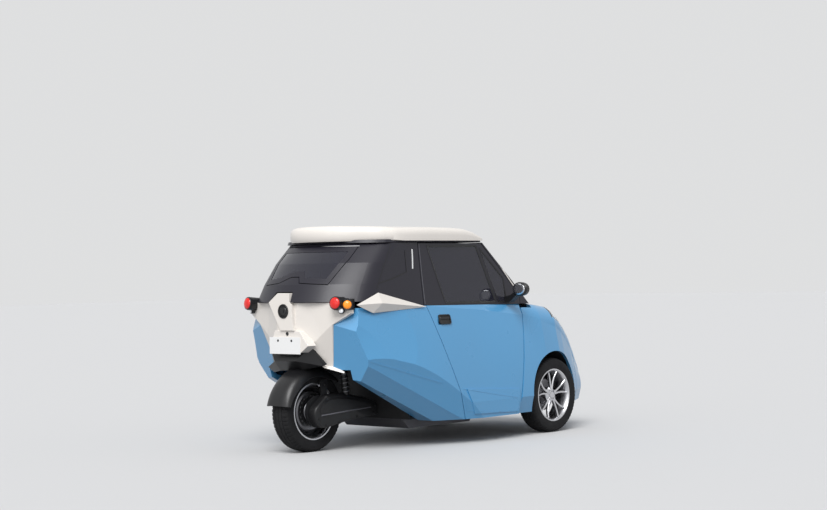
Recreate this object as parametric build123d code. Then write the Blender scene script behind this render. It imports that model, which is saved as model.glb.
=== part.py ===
"""Two-seat electric car on three wheels: two steered in front, one driven on a swing arm behind.

Lengths are millimetres. +X is forward, +Y is left, +Z is up. While the car is modelled, x is measured from
the rear axle. save() then shifts every piece so that the origin lies on the ground under the car's middle.
"""

from math import atan2, cos, degrees, hypot, pi, radians, sin
import os

from build123d import *

# Driving dimensions
LENGTH = 2907.0
REAR_OVERHANG = 312.0
FRONT_OVERHANG = 583.0
WHEELBASE = LENGTH - REAR_OVERHANG - FRONT_OVERHANG
HEIGHT = 1572.0
CLEARANCE = 180.0
BELT_Z = 1000.0
BELT_FRONT_Z = 983.0
ROOF_EDGE_Z = 1446.0
SHIFT_X = REAR_OVERHANG - LENGTH / 2

# Wheels
TYRE_R = 282.0
TYRE_W = 155.0
RIM_R = 198.0
RIM_W = 140.0
TRACK_HALF = 572.0
ARCH_R = 335.0
ARCH_IN_Y = 335.0

# Walls and gaps
SKIN = 25.0
WALL = 42.0
DOOR_T = 55.0
GAP = 5.0
GLASS_T = 6.0

# The belt of the side skin leans in from the waist
SIDE_BELT_Y = 565.0
SIDE_LOW_Y = 700.0
SIDE_LOW_Z = 300.0
SIDE_BULGE = 17.0

# Door shut lines, seen from the side
DOOR_REAR_BELT_X = 640.0
DOOR_REAR_SILL_X = 962.0
DOOR_FRONT_BELT_X = WHEELBASE - 285
DOOR_FRONT_SILL_X = WHEELBASE - 512
PILLAR_TOP_X = WHEELBASE - 640
SHUT_SLANT = 0.25
HINGE_GAP = 10.0
BELT_INNER_Y = SIDE_BELT_Y - DOOR_T
SILL_INNER_Y = 572.0
SHELF_IN_Y = 512.0
HANDLE_X = 787.0
HANDLE_Z = 900.0

# Tail
TAIL_X = -190.0
TAIL_TOP_Z = 1042.0
TAIL_LOW_Z = 560.0
PLATE_Z = 748.0
PORT_Z = 985.0
PLATE_HOLE_Y = 66.0
PLATE_HOLE_Z = PLATE_Z + 34
POD_REAR_Y = 355.0


def side_prism(points, y0, y1):
    """A side outline of (x, z) points drawn out from y0 to y1."""
    flat = make_face(Polyline(*[(x, y0, z) for x, z in points], close=True))
    return extrude(flat, amount=y1 - y0, dir=(0, 1, 0))


def plan_prism(points, z0, z1):
    """A plan outline of (x, y) points drawn out from z0 to z1."""
    flat = make_face(Polyline(*[(x, y, z0) for x, y in points], close=True))
    return extrude(flat, amount=z1 - z0, dir=(0, 0, 1))


def cross_prism(points, x0, x1):
    """A cross-section of (y, z) points drawn out from x0 to x1."""
    flat = make_face(Polyline(*[(x0, y, z) for y, z in points], close=True))
    return extrude(flat, amount=x1 - x0, dir=(1, 0, 0))


def block(x0, x1, y0, y1, z0, z1):
    """A box between its six limits."""
    return Pos((x0 + x1) / 2, (y0 + y1) / 2, (z0 + z1) / 2) * Box(x1 - x0, y1 - y0, z1 - z0)


def rod(a, b, r):
    """A round bar from a to b."""
    a, b = Vector(*a), Vector(*b)
    return Plane(origin=(a + b) * 0.5, z_dir=b - a) * Cylinder(r, (b - a).length)


def grown(points, grow):
    """A flat outline moved outwards by grow, as a face in the plan plane."""
    flat = make_face(Polyline(*points, close=True))
    return offset(flat, amount=grow, kind=Kind.INTERSECTION) if grow else flat


def plan_zone(points, grow, z0, z1):
    """A plan outline of (x, y) points moved outwards by grow and drawn out from z0 to z1."""
    return Pos(0, 0, z0) * extrude(grown(points, grow), amount=z1 - z0, dir=(0, 0, 1))


def rear_zone(points, grow, x0, x1):
    """An outline of (y, z) points moved outwards by grow and drawn out from x0 to x1."""
    upright = Plane(origin=(x0, 0, 0), x_dir=(0, 1, 0), z_dir=(1, 0, 0))
    return extrude(upright * grown(points, grow), amount=x1 - x0, dir=(1, 0, 0))


def largest(shape):
    """Only the biggest solid of a shape."""
    return max(shape.solids(), key=lambda one: one.volume)


def across(x, z, r, y0, y1):
    """A cylinder along Y."""
    return Pos(x, (y0 + y1) / 2, z) * Rot(90, 0, 0) * Cylinder(r, abs(y1 - y0))


def trim(solid, a, b, c, keep_point, inset=0.0):
    """Cuts the solid by the plane through a, b and c moved in by inset, and keeps keep_point's side."""
    a, b, c = Vector(*a), Vector(*b), Vector(*c)
    normal = (b - a).cross(c - a).normalized()
    if normal.dot(Vector(*keep_point) - a) < 0:
        normal = -normal
    return split(solid, bisect_by=Plane(origin=a + normal * inset, z_dir=normal), keep=Keep.TOP)


def other_side(solid):
    """The same piece on the car's other side."""
    return mirror(solid, about=Plane.XZ)


def both(solid):
    """The piece and its twin on the other side, as one compound."""
    return Compound(children=[*solid.solids(), *other_side(solid).solids()])


def joined(first, *rest):
    """All the shapes fused."""
    for shape in rest:
        first = first + shape
    return first


# Body sides


SIDE_TAPER = (
    # x, how far the side has drawn in at its low edge, at its middle and at the belt
    (-300.0, 250.0, 250.0, 120.0),
    (0.0, 118.0, 120.0, 52.0),
    (330.0, 30.0, 30.0, 13.0),
    (660.0, 0.0, 0.0, 0.0),
    (1100.0, 0.0, 0.0, 0.0),
    (WHEELBASE - 212, 0.0, 0.0, 0.0),
)


def side_section(x, low_in, mid_in, belt_in, inset):
    """Right-hand cross-section of door and quarter as a face: belt, bulged side, low edge."""
    low = (-SIDE_LOW_Y + low_in + inset, SIDE_LOW_Z)
    belt = (-SIDE_BELT_Y + belt_in + inset, BELT_Z)
    mid_y = -(SIDE_LOW_Y + SIDE_BELT_Y) / 2 - SIDE_BULGE + mid_in + inset
    mid = (mid_y, (SIDE_LOW_Z + BELT_Z) / 2)
    inner, foot = -POD_INNER_Y, CLEARANCE + inset
    edges = [
        Edge.make_line((x, inner, foot), (x, low[0], foot)),
        Edge.make_line((x, low[0], foot), (x, *low)),
        Edge.make_three_point_arc((x, *low), (x, *mid), (x, *belt)),
        Edge.make_line((x, *belt), (x, inner, BELT_Z)),
        Edge.make_line((x, inner, BELT_Z), (x, inner, foot)),
    ]
    return Face(Wire(edges))


# Corners of the facets on the rear quarter, right-hand side, as (x, y, z)
REAR_TOP = (-86.0, -POD_REAR_Y, 889.0)
REAR_LOW = (-13.0, -281.0, 596.0)
SHELF_OUT = (-21.0, -520.0, 838.0)
SHELF_IN = (10.0, -500.0, 960.0)
SHELF_END = (380.0, -570.0, 915.0)
CREASE_REAR = (50.0, -546.0, 640.0)
CREASE_FRONT = (675.0, -668.0, 455.0)
FOLD_REAR = (92.0, -545.0, 592.0)
FOLD_FRONT = (925.0, -650.0, 180.0)
FOLD_IN = (492.0, -520.0, 302.0)
RISE_LOW = (700.0, -600.0, CLEARANCE + 8)
RISE_HIGH = (-60.0, -500.0, 560.0)
SHOULDER_REAR = (640.0, -566.0, 999.0)
SHOULDER_LOW = (WHEELBASE - 312, -589.0, 915.0)
SHOULDER_HIGH = (WHEELBASE - 312, -547.0, BELT_FRONT_Z)
INSIDE = (500.0, -330.0, 700.0)
POD_INNER_Y = 250.0


def pod(inset=0.0):
    """The faceted solid of the right-hand side from the tail to the door's front edge."""
    solid = loft([side_section(*row, inset) for row in SIDE_TAPER])
    belt_front = (DOOR_FRONT_BELT_X, -500.0, BELT_FRONT_Z)
    facets = (
        # three corners of the facet, and how far the inset moves them as (x, y, z) shares
        (REAR_TOP, SHELF_OUT, CREASE_REAR, (0.9, 0.3, 0.3)),
        (REAR_TOP, SHELF_IN, SHELF_OUT, (0.3, 0.5, -0.8)),
        (SHELF_IN, SHELF_END, SHELF_OUT, (0.0, 0.7, -0.7)),
        (CREASE_REAR, CREASE_FRONT, FOLD_FRONT, (0.0, 1.0, 0.0)),
        (FOLD_REAR, FOLD_FRONT, FOLD_IN, (0.0, 0.6, 0.8)),
        (RISE_LOW, RISE_HIGH, (RISE_LOW[0], -300.0, RISE_LOW[2]), (0.4, 0.0, 0.9)),
        (SHOULDER_REAR, SHOULDER_LOW, SHOULDER_HIGH, (0.0, 0.8, -0.6)),
        ((DOOR_REAR_BELT_X, -500.0, BELT_Z), belt_front, (DOOR_REAR_BELT_X, -600.0, BELT_Z), (0.0, 0.0, 0.0)),
    )
    for a, b, c, share in facets:
        moved = [tuple(p[i] + share[i] * inset for i in range(3)) for p in (a, b, c)]
        solid = trim(solid, *moved, INSIDE)
    return solid


# Raised panel at the foot of the door, seen from the side, as (x, z)
DOOR_PANEL = (
    (916.0, 400.0),
    (WHEELBASE - 496, 362.0),
    (WHEELBASE - 532, 200.0),
    (1004.0, 214.0),
)


def rear_cut(solid, x, keep_front):
    """Cuts at the door's rear shut plane, which slants forward inwards so that the door can swing out."""
    a = (DOOR_REAR_BELT_X + x, -SIDE_BELT_Y, BELT_Z)
    b = (DOOR_REAR_SILL_X + x, -SIDE_BELT_Y, CLEARANCE)
    c = (DOOR_REAR_BELT_X + x + 100 * SHUT_SLANT, -SIDE_BELT_Y + 100, BELT_Z)
    return trim(solid, a, b, c, (3000 if keep_front else -3000, 0, 500))


def front_edge(x):
    """Side outline of everything in front of the door's front shut line moved by x."""
    slope = (DOOR_FRONT_BELT_X - DOOR_FRONT_SILL_X) / (BELT_Z - CLEARANCE)
    low = DOOR_FRONT_SILL_X - slope * CLEARANCE + x
    return [(low, 0), (DOOR_FRONT_BELT_X + x, BELT_Z), (DOOR_FRONT_BELT_X + x, 1300), (3000, 1300), (3000, 0)]


def quarter_right():
    """Blue faceted rear quarter, a thick wall open towards the cabin and the boot."""
    room = joined(
        block(-300, 1200, -800, -400, 100, 1100), block(-300, 70, -401, -POD_INNER_Y, 575, 1100)
    )
    shell = (pod() - pod(WALL)) & room
    shell = shell - block(150, 800, -SHELF_IN_Y, 0, 800, 1100)
    return largest(rear_cut(shell, -GAP / 2, False) - lamp_pod(3) - blade_right(-3))


def door_shell_right():
    """Blue lower door: outer skin and inner tray, as thick as the real door, with a raised panel low down."""
    shell = pod() - pod(DOOR_T)
    raised = pod(-7) - pod(DOOR_T - 20)
    shell = shell + (raised & side_prism(DOOR_PANEL, -760, -500))
    shell = shell - side_prism(front_edge(-HINGE_GAP / 2), -800, 0)
    limit = [
        (-BELT_INNER_Y, BELT_Z),
        (-SILL_INNER_Y, CLEARANCE),
        (-SILL_INNER_Y, 0),
        (-900, 0),
        (-900, BELT_Z),
    ]
    shell = shell & cross_prism(limit, 500, WHEELBASE - 200)
    door = rear_cut(shell, GAP / 2, True)
    door = door - block(HANDLE_X - 66, HANDLE_X + 66, -700, -592, HANDLE_Z - 38, HANDLE_Z + 38)
    return door


# Front end


FRONT_STATIONS = (
    # x from the front axle, half width at the bottom, bottom z, half width at the waist, shoulder y, z,
    # top edge y, z, crown z, and how far the shoulder bulges
    (-512, 672, 180, 710, 588, 930, 550, 986, 1024, 0.0),
    (-312, 674, 180, 710, 590, 915, 548, 983, 1030, 0.0),
    (-120, 670, 180, 708, 622, 850, 536, 972, 1022, 0.7),
    (60, 656, 182, 704, 622, 800, 520, 950, 1000, 1.0),
    (150, 630, 186, 674, 605, 756, 503, 906, 958, 1.0),
    (238, 590, 190, 628, 582, 700, 480, 852, 905, 1.0),
    (330, 560, 197, 594, 558, 616, 457, 778, 832, 1.0),
    (418, 530, 205, 558, 530, 520, 430, 690, 745, 1.0),
    (533, 484, 215, 508, 486, 425, 385, 556, 604, 1.0),
    (FRONT_OVERHANG, 440, 228, 464, 446, 396, 344, 486, 520, 1.0),
)
WAIST_Z = 300.0


def front_section(x, row, inset):
    """One closed cross-section of the front end, made of lines and arcs."""
    foot_y, foot_z, waist_y, shoulder_y, shoulder_z, edge_y, edge_z, crown_z, bulge = row
    k = inset
    foot = (foot_y - k, foot_z + k)
    waist = (waist_y - k, WAIST_Z)
    shoulder = (shoulder_y - k, shoulder_z - 0.3 * k)
    edge = (edge_y - 0.6 * k, edge_z - 0.9 * k)
    crown = (0.0, crown_z - k)
    bow = 19.0 - 10.0 * bulge
    side_mid = ((waist[0] + shoulder[0]) / 2 + bow, (waist[1] + shoulder[1]) / 2)
    share_y, share_z = 0.51 + 0.11 * bulge, 0.49 - 0.19 * bulge
    top_mid = (
        shoulder[0] * share_y + edge[0] * (1 - share_y),
        shoulder[1] * share_z + edge[1] * (1 - share_z),
    )

    def right(p):
        return (x, -p[0], p[1])

    def left(p):
        return (x, p[0], p[1])

    edges = [
        Edge.make_line(left(foot), right(foot)),
        Edge.make_line(right(foot), right(waist)),
        Edge.make_three_point_arc(right(waist), right(side_mid), right(shoulder)),
        Edge.make_three_point_arc(right(shoulder), right(top_mid), right(edge)),
        Edge.make_three_point_arc(right(edge), right(crown), left(edge)),
        Edge.make_three_point_arc(left(edge), left(top_mid), left(shoulder)),
        Edge.make_three_point_arc(left(shoulder), left(side_mid), left(waist)),
        Edge.make_line(left(waist), left(foot)),
    ]
    return Face(Wire(edges))


def front_volume(inset=0.0):
    """The outer form of the front end, from the door to the nose."""
    faces = []
    for row in FRONT_STATIONS:
        x = WHEELBASE + row[0] - (inset if row is FRONT_STATIONS[-1] else 0.0)
        faces.append(front_section(x, row[1:], inset))
    return loft(faces, ruled=True)


def wheel_wells():
    """The two round wells that the front wheels stand and steer in."""
    well = across(WHEELBASE, TYRE_R, ARCH_R + 1, -800, -ARCH_IN_Y)
    return joined(well, other_side(well))


LINER_T = 5.0


def arch_liners():
    """Dark liners that line the wheel wells inside the fenders."""
    cup = across(WHEELBASE, TYRE_R, ARCH_R + LINER_T, -800, -ARCH_IN_Y + LINER_T)
    cup = cup - across(WHEELBASE, TYRE_R, ARCH_R, -801, -ARCH_IN_Y)
    liner = cup & front_volume(SKIN + 1)
    liner = liner & block(WHEELBASE - 512, NOSE_SPLIT_X - GAP, -800, 0, CLEARANCE + 30, 1200)
    window = block(WHEELBASE - 160, WHEELBASE + 165, -ARCH_IN_Y - 10, 0, 0, 650)
    return both(liner - window)


BONNET_REAR_X = WHEELBASE - 52
BONNET_FRONT_X = WHEELBASE + 440
BONNET_REAR_Y = 490.0
BONNET_SIDE_Z = 966.0
BONNET_FRONT_Y = 372.0
BONNET_FRONT_Z = 700.0
NOSE_SPLIT_X = WHEELBASE + 388
FOOT_IN_Y = 520.0


def bonnet_side(solid, gap, keep_inside):
    """Cuts along the bonnet's right shut line; the cut leans inwards below so that the bonnet lifts clear."""
    a = (BONNET_REAR_X, -BONNET_REAR_Y - gap, BONNET_SIDE_Z)
    b = (BONNET_FRONT_X, -BONNET_FRONT_Y - gap, BONNET_FRONT_Z)
    c = (BONNET_REAR_X, -BONNET_REAR_Y - gap + 60, BONNET_SIDE_Z - 100)
    return trim(solid, a, b, c, (2000, 2000 if keep_inside else -2000, 0))


def bonnet_block(gap):
    """Everything that lies inside the bonnet's shut lines moved outwards by the gap."""
    room = block(BONNET_REAR_X - gap, WHEELBASE + 588, -700, 700, 400, 1200)
    front = (BONNET_FRONT_X + gap, 0, 740)
    room = trim(room, front, (front[0], 100, 740), (front[0] - 100, 0, 640), (WHEELBASE, 0, 800))
    room = bonnet_side(room, gap, True)
    room = other_side(bonnet_side(other_side(room), gap, True))
    return room


HEADLAMP_PLAN = (
    # x from the front axle, y
    (40, -606),
    (300, -552),
    (330, -470),
    (190, -470),
    (40, -520),
)


def headlamp_zone(grow):
    """The right lamp's plan drawn out upwards."""
    return plan_zone([(WHEELBASE + x, y) for x, y in HEADLAMP_PLAN], grow, 560, 1000)


def front_pieces():
    """Fender, nose, bonnet, lamps and cowl, all cut from one skin."""
    outer = front_volume() - glass_clear()
    closed = outer - front_volume(SKIN)
    ahead = side_prism(front_edge(HINGE_GAP / 2), -900, 900)
    rear_x, end_x = WHEELBASE - 712, WHEELBASE + 688
    floor_cut = block(rear_x, NOSE_SPLIT_X, -900, 900, 0, CLEARANCE + 1.6 * SKIN)
    side_only = joined(
        block(rear_x, end_x, -900, -FOOT_IN_Y, 0, 1200), block(rear_x, end_x, FOOT_IN_Y, 900, 0, 1200)
    )
    skin = (closed - wheel_wells()) & ahead
    skin = skin - (floor_cut - side_only)
    bonnet = skin & bonnet_block(0)
    rest = skin - bonnet_block(GAP)
    slot = headlamp_zone(2.5)
    lamps = (outer - front_volume(SKIN * 2)) & headlamp_zone(0)
    lamps = lamps - across(WHEELBASE, TYRE_R, ARCH_R + 12, -800, -ARCH_IN_Y + 20)
    rest = rest - slot - other_side(slot)
    nose = rest & block(NOSE_SPLIT_X + GAP / 2, end_x, -800, 800, 0, 1100)
    mouth = cross_prism([(-300, 300), (300, 300), (340, 400), (-340, 400)], WHEELBASE + 368, end_x)
    nose = nose - mouth
    cowl_front = BONNET_REAR_X - GAP
    cowl_width = BONNET_REAR_Y + GAP
    cowl = rest & block(WHEELBASE - 352, cowl_front, -cowl_width, cowl_width, 930, 1100)
    fenders = rest & block(WHEELBASE - 612, NOSE_SPLIT_X - GAP / 2, -800, 800, 0, 1200)
    fenders = fenders - block(WHEELBASE - 512, cowl_front + 1, -cowl_width - 1, cowl_width + 1, 900, 1100)
    fender = fenders & block(WHEELBASE - 612, end_x, -800, 0, 0, 1200)
    return largest(fender), nose, bonnet, lamps, cowl


# Glasshouse


GLASS_LEVELS = (
    # z, rear centre x, rear radius, corner radius, rear side y, front side y, side end and front centre x
    # from the front axle
    (968, -262, 640, 220, 545, 562, -168, -30),
    (1165, -160, 600, 230, 522, 531, -352, -232),
    (1310, -44, 600, 220, 508, 512, -507, -395),
    (ROOF_EDGE_Z, 106, 600, 210, 496, 492, -646, -548),
)


def glass_outline(level, inset):
    """Plan outline of the glasshouse at one level, as a closed face with round rear corners."""
    z, rear_x, rear_r, corner_r, start_y, end_y, end_dx, front_dx = level
    k = inset
    rear_x, rear_r, corner_r, start_y = rear_x + k, rear_r - k, corner_r - k, start_y - k
    reach = ((rear_r - corner_r) ** 2 - (start_y - corner_r) ** 2) ** 0.5
    middle_x, middle_y = rear_x + rear_r - reach, start_y - corner_r
    turn = atan2(middle_y, reach)
    corner = (middle_x - corner_r * cos(turn), middle_y + corner_r * sin(turn))
    half = (pi / 2 + turn) / 2
    bend = (middle_x - corner_r * cos(half), middle_y + corner_r * sin(half))
    start = (middle_x, start_y)
    end = (WHEELBASE + end_dx - 0.7 * k, end_y - k)
    rear, front = (rear_x, 0), (WHEELBASE + front_dx - 1.2 * k, 0)

    def at(p, side):
        return (p[0], side * p[1], z)

    edges = [
        Edge.make_three_point_arc(at(corner, -1), at(rear, 1), at(corner, 1)),
        Edge.make_three_point_arc(at(corner, 1), at(bend, 1), at(start, 1)),
        Edge.make_line(at(start, 1), at(end, 1)),
        Edge.make_three_point_arc(at(end, 1), at(front, 1), at(end, -1)),
        Edge.make_line(at(end, -1), at(start, -1)),
        Edge.make_three_point_arc(at(start, -1), at(bend, -1), at(corner, -1)),
    ]
    return Face(Wire(edges))


def glass_volume(inset):
    """Everything inside the glasshouse at that inset."""
    return loft([glass_outline(level, inset) for level in GLASS_LEVELS], ruled=True)


HATCH_LOW_Z = 1165.0


HATCH_TOP_Z = ROOF_EDGE_Z - 20
HATCH_OUTLINE = (
    # y, z seen from behind; the low edge steps up over the latch
    (-300, HATCH_LOW_Z),
    (-90, HATCH_LOW_Z + 14),
    (-60, HATCH_LOW_Z + 56),
    (10, HATCH_LOW_Z + 56),
    (120, HATCH_LOW_Z + 14),
    (300, HATCH_LOW_Z),
    (342, 1330),
    (342, HATCH_TOP_Z),
    (-342, HATCH_TOP_Z),
    (-342, 1330),
)


def door_upper_outline(grow):
    """Side view of the door's window frame."""
    g = grow
    front_x = DOOR_FRONT_BELT_X - HINGE_GAP / 2
    return [
        (DOOR_REAR_BELT_X - g, 900),
        (DOOR_REAR_BELT_X - g, ROOF_EDGE_Z - 4 + g),
        (PILLAR_TOP_X - 28 + g, ROOF_EDGE_Z - 4 + g),
        (front_x - 88 + g, BELT_FRONT_Z + 165),
        (front_x + g, BELT_FRONT_Z + 60),
        (front_x + g, 900),
    ]


DOOR_WINDOW = (
    # x, z at the rear top, front top, front foot and rear foot
    (732, 1424),
    (WHEELBASE - 724, 1424),
    (WHEELBASE - 566, 1003),
    (872, 1012),
)
QUARTER_WINDOW = (
    # x from the front axle, z
    (-690, 1410),
    (-536, 1003),
    (-448, 1003),
    (-448, 1180),
)
SCREEN_OPENING = (
    (-498, BELT_Z + 20),
    (498, BELT_Z + 20),
    (436, ROOF_EDGE_Z - 24),
    (-436, ROOF_EDGE_Z - 24),
)


def glass_clear():
    """The room that the glasshouse takes with a gap round it, carried on down to below the belt."""
    foot = extrude(glass_outline(GLASS_LEVELS[0], -GAP), amount=-120, dir=(0, 0, 1))
    return joined(glass_volume(-GAP), foot)


def above_belt(solid, lift):
    """The part of the solid that lies above the belt line by lift."""
    a = (DOOR_REAR_BELT_X, 0, BELT_Z + lift)
    b = (DOOR_FRONT_BELT_X, 0, BELT_FRONT_Z + lift)
    return trim(solid, a, b, (DOOR_REAR_BELT_X, 100, BELT_Z + lift), (1000, 0, 1300))


def greenhouse_pieces():
    """Dark upper body: rear pillars, door frames, windscreen frame and every pane."""
    shell = glass_volume(0) - glass_volume(WALL)
    pane = glass_volume(3) - glass_volume(3 + GLASS_T)
    front_only = block(WHEELBASE - 1000, WHEELBASE + 100, -600, 600, 900, 1500)
    rear_only = block(-300, DOOR_REAR_BELT_X - GAP, -600, 600, 900, 1500)
    screen_hole = cross_prism(SCREEN_OPENING, WHEELBASE - 850, WHEELBASE + 100)
    door_cut = joined(
        side_prism(door_upper_outline(GAP), -800, -300), side_prism(door_upper_outline(GAP), 300, 800)
    )
    hatch_cut = rear_zone(HATCH_OUTLINE, GAP, -300, 400)

    windscreen = pane & screen_hole
    fixed = shell - screen_hole - door_cut - hatch_cut
    rear = (fixed & rear_only) & block(-300, 700, -600, 600, BELT_Z + 3, 1500)
    frame = above_belt(fixed & front_only, 3)

    door_zone = side_prism(door_upper_outline(0), -800, -300)
    quarter_window = [(WHEELBASE + x, z) for x, z in QUARTER_WINDOW]
    openings = joined(side_prism(DOOR_WINDOW, -800, -300), side_prism(quarter_window, -800, -300))
    door_frame = above_belt((shell & door_zone) - openings, 1)
    rear_out = (DOOR_REAR_BELT_X, -GLASS_LEVELS[0][4], GLASS_LEVELS[0][0])
    rear_top = (DOOR_REAR_BELT_X, -GLASS_LEVELS[-1][4], ROOF_EDGE_Z)
    rear_in = (rear_out[0] + 100 * SHUT_SLANT, rear_out[1] + 100, rear_out[2])
    door_frame = trim(door_frame, rear_out, rear_top, rear_in, (1500, 0, 1200))
    door_glass = pane & openings

    hatch = (glass_volume(0) - glass_volume(26)) & rear_zone(HATCH_OUTLINE, 0, -300, 400)
    hatch_hole = rear_zone(HATCH_OUTLINE, -36, -300, 400)
    hatch_glass = pane & hatch_hole
    hatch_frame = hatch - hatch_hole
    blades = blade_right(-3)
    pods = lamp_pod(3)
    tail_room = joined(block(-300, 97, -700, 700, 900, TAIL_TOP_Z + 3), boss(GAP))
    rear = rear - tail_room - pods - other_side(pods) - blades - other_side(blades)
    return largest(rear), frame, windscreen, door_frame, door_glass, hatch_frame, hatch_glass


# Roof


def roof_volume(inset):
    """Crowned roof with a spoiler: side profile, plan and cross-section cut from one another."""
    k = inset
    z0 = ROOF_EDGE_Z + 4
    top = HEIGHT - k
    front = WHEELBASE - 602 - k
    shoulder, crest = (front - 120, -700, 1522 - k), (240, -700, top)
    lip, lip_low = (80, -700, top - 4), (34 + k, -700, top - 58)
    side = Wire(
        [
            Edge.make_line((40 + k, -700, z0), (front, -700, z0)),
            Edge.make_three_point_arc((front, -700, z0), (front - 40, -700, 1492 - k), shoulder),
            Edge.make_three_point_arc(shoulder, (690, -700, 1562 - k), crest),
            Edge.make_three_point_arc(crest, (150, -700, top), lip),
            Edge.make_three_point_arc(lip, (46 + k, -700, top - 24), lip_low),
            Edge.make_line(lip_low, (40 + k, -700, z0)),
        ]
    )
    body = extrude(Face(side), amount=1400, dir=(0, 1, 0))
    rear_r, rear_l = (205 + k, -372 + k, 1400), (205 + k, 372 - k, 1400)
    mid_r, mid_l = (500, -518 + k, 1400), (500, 518 - k, 1400)
    front_r, front_l = (front - 66, -506 + k, 1400), (front - 66, 506 - k, 1400)
    plan = Wire(
        [
            Edge.make_three_point_arc(rear_r, (34 + k, 0, 1400), rear_l),
            Edge.make_three_point_arc(rear_l, (310, 480 - k, 1400), mid_l),
            Edge.make_line(mid_l, front_l),
            Edge.make_three_point_arc(front_l, (front + 14, 0, 1400), front_r),
            Edge.make_line(front_r, mid_r),
            Edge.make_three_point_arc(mid_r, (310, -480 + k, 1400), rear_r),
        ]
    )
    body = body & extrude(Face(plan), amount=250, dir=(0, 0, 1))
    cross = Wire(
        [
            Edge.make_line((0, -526 + k, 1400), (0, -526 + k, 1496 - k)),
            Edge.make_three_point_arc((0, -526 + k, 1496 - k), (0, -502 + k, 1532 - k), (0, -440, 1550 - k)),
            Edge.make_three_point_arc((0, -440, 1550 - k), (0, 0, top), (0, 440, 1550 - k)),
            Edge.make_three_point_arc((0, 440, 1550 - k), (0, 502 - k, 1532 - k), (0, 526 - k, 1496 - k)),
            Edge.make_line((0, 526 - k, 1496 - k), (0, 526 - k, 1400)),
            Edge.make_line((0, 526 - k, 1400), (0, -526 + k, 1400)),
        ]
    )
    return body & extrude(Face(cross), amount=1500, dir=(1, 0, 0))


def roof_panel():
    """White roof and spoiler, hollow below."""
    hollow = roof_volume(32) & block(300, WHEELBASE - 720, -600, 600, 1300, 1536)
    return roof_volume(0) - hollow


# Tail


# Corners of the tail's facets, right-hand side, as (x, y, z)
TAIL_TOP = (-158.0, -190.0, 1041.0)
TAIL_VALLEY = (-105.0, -262.0, 817.0)
TAIL_PEAK = (-140.0, -170.0, 732.0)


def tail_volume(inset):
    """The white tail: a flat middle, and on each side a facet that falls in and one that comes out again."""
    ahead = 90.0
    middle = block(TAIL_X + inset, ahead, -560, 560, 540, TAIL_TOP_Z)
    side = block(TAIL_X - 60, ahead, -560, 0, 540, TAIL_TOP_Z)
    inside = (0, 0, 800)
    middle = trim(middle, TAIL_TOP, TAIL_VALLEY, TAIL_PEAK, inside, inset)
    middle = other_side(trim(other_side(middle), TAIL_TOP, TAIL_VALLEY, TAIL_PEAK, inside, inset))
    side = trim(side, TAIL_TOP, TAIL_VALLEY, REAR_TOP, inside, inset)
    side = trim(side, TAIL_VALLEY, REAR_TOP, REAR_LOW, inside, inset)
    beside = (TAIL_TOP[0] + 100, TAIL_TOP[1], TAIL_TOP[2])
    side = trim(side, TAIL_TOP, TAIL_VALLEY, beside, (0, -560, 800), inset)
    return joined(middle, side, other_side(side))


def boss(grow):
    """The raised boss in the middle of the tail that carries the charge flap."""
    g = grow
    outline = [(-58 - g, 1112 + g), (-88 - g, 887 - g), (28, 862 - g), (140 + g, 1059), (92 + g, 1112 + g)]
    return cross_prism(outline, -214 - g, -120)


LENS = (
    # centre x, y, z, direction x, y, z and radius of the red and the amber lens
    (-139.0, -430.0, 1038.0, -0.97, -0.20, 0.10, 40.0),
    (-84.0, -488.0, 1026.0, -0.75, -0.66, 0.05, 30.0),
)
POD_WALL = 7.0


def lamp_pod(grow):
    """Dark housing of the right-hand lamps: a drum behind each lens and the web that joins them."""
    web = [(-122, -398), (-70, -500), (-10, -486), (-50, -380)]
    pod_shape = plan_zone(web, grow, 990 - grow, 1066 + grow)
    for x, y, z, dx, dy, dz, r in LENS:
        face, back = Vector(x, y, z), Vector(x - 95 * dx, y - 95 * dy, z - 95 * dz)
        pod_shape = pod_shape + rod(face, back, r + POD_WALL + grow)
    return pod_shape


def tail_panel():
    """White tail skin with a boss for the charge port, a pad for the plate and the notch over the wheel."""
    skin = tail_volume(0) - tail_volume(WALL)
    notch = [(-300, TAIL_LOW_Z), (-241, 609), (-184, 728), (184, 728), (241, 609), (300, TAIL_LOW_Z)]
    rest = [(460, TAIL_LOW_Z), (600, 1200), (-600, 1200), (-460, TAIL_LOW_Z)]
    keep = cross_prism([*notch, *rest], -300, 200)
    pad = block(-202, TAIL_X + 10, -105, 105, PLATE_Z - 40, PLATE_Z + 88)
    skin = joined(skin & keep, boss(0), pad) - tail_volume(WALL)
    skin = skin - across_x(-240, -188, 0, PORT_Z, 52)
    for y in (-PLATE_HOLE_Y, PLATE_HOLE_Y):
        skin = skin - across_x(-240, -100, y, PLATE_HOLE_Z, PLATE_HOLE_R)
    right = joined(pod(-3), lamp_pod(3), blade_right(-3))
    skin = skin - right - other_side(right)
    return largest(skin)


PLATE_HOLE_R = 3.5


def across_x(x0, x1, y, z, r):
    """A cylinder along X."""
    return Pos((x0 + x1) / 2, y, z) * Rot(0, 90, 0) * Cylinder(r, x1 - x0)


def charge_port():
    """Round black flap in the boss."""
    return across_x(-220, -188, 0, PORT_Z, 50)


def number_plate():
    """Blank plate on its pad, with two screw holes."""
    plate = block(-206, -202, -150, 150, PLATE_Z - 58, PLATE_Z + 58)
    for y in (-PLATE_HOLE_Y, PLATE_HOLE_Y):
        plate = plate - across_x(-220, -190, y, PLATE_HOLE_Z, PLATE_HOLE_R)
    return plate


def tail_lamps():
    """One pod each side that carries a red and an amber lens."""
    pod_shape = lamp_pod(0)
    for x, y, z, dx, dy, dz, r in LENS:
        face = Vector(x, y, z)
        pod_shape = pod_shape + rod(face, Vector(x + 8 * dx, y + 8 * dy, z + 8 * dz), r)
    return both(pod_shape)


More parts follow.
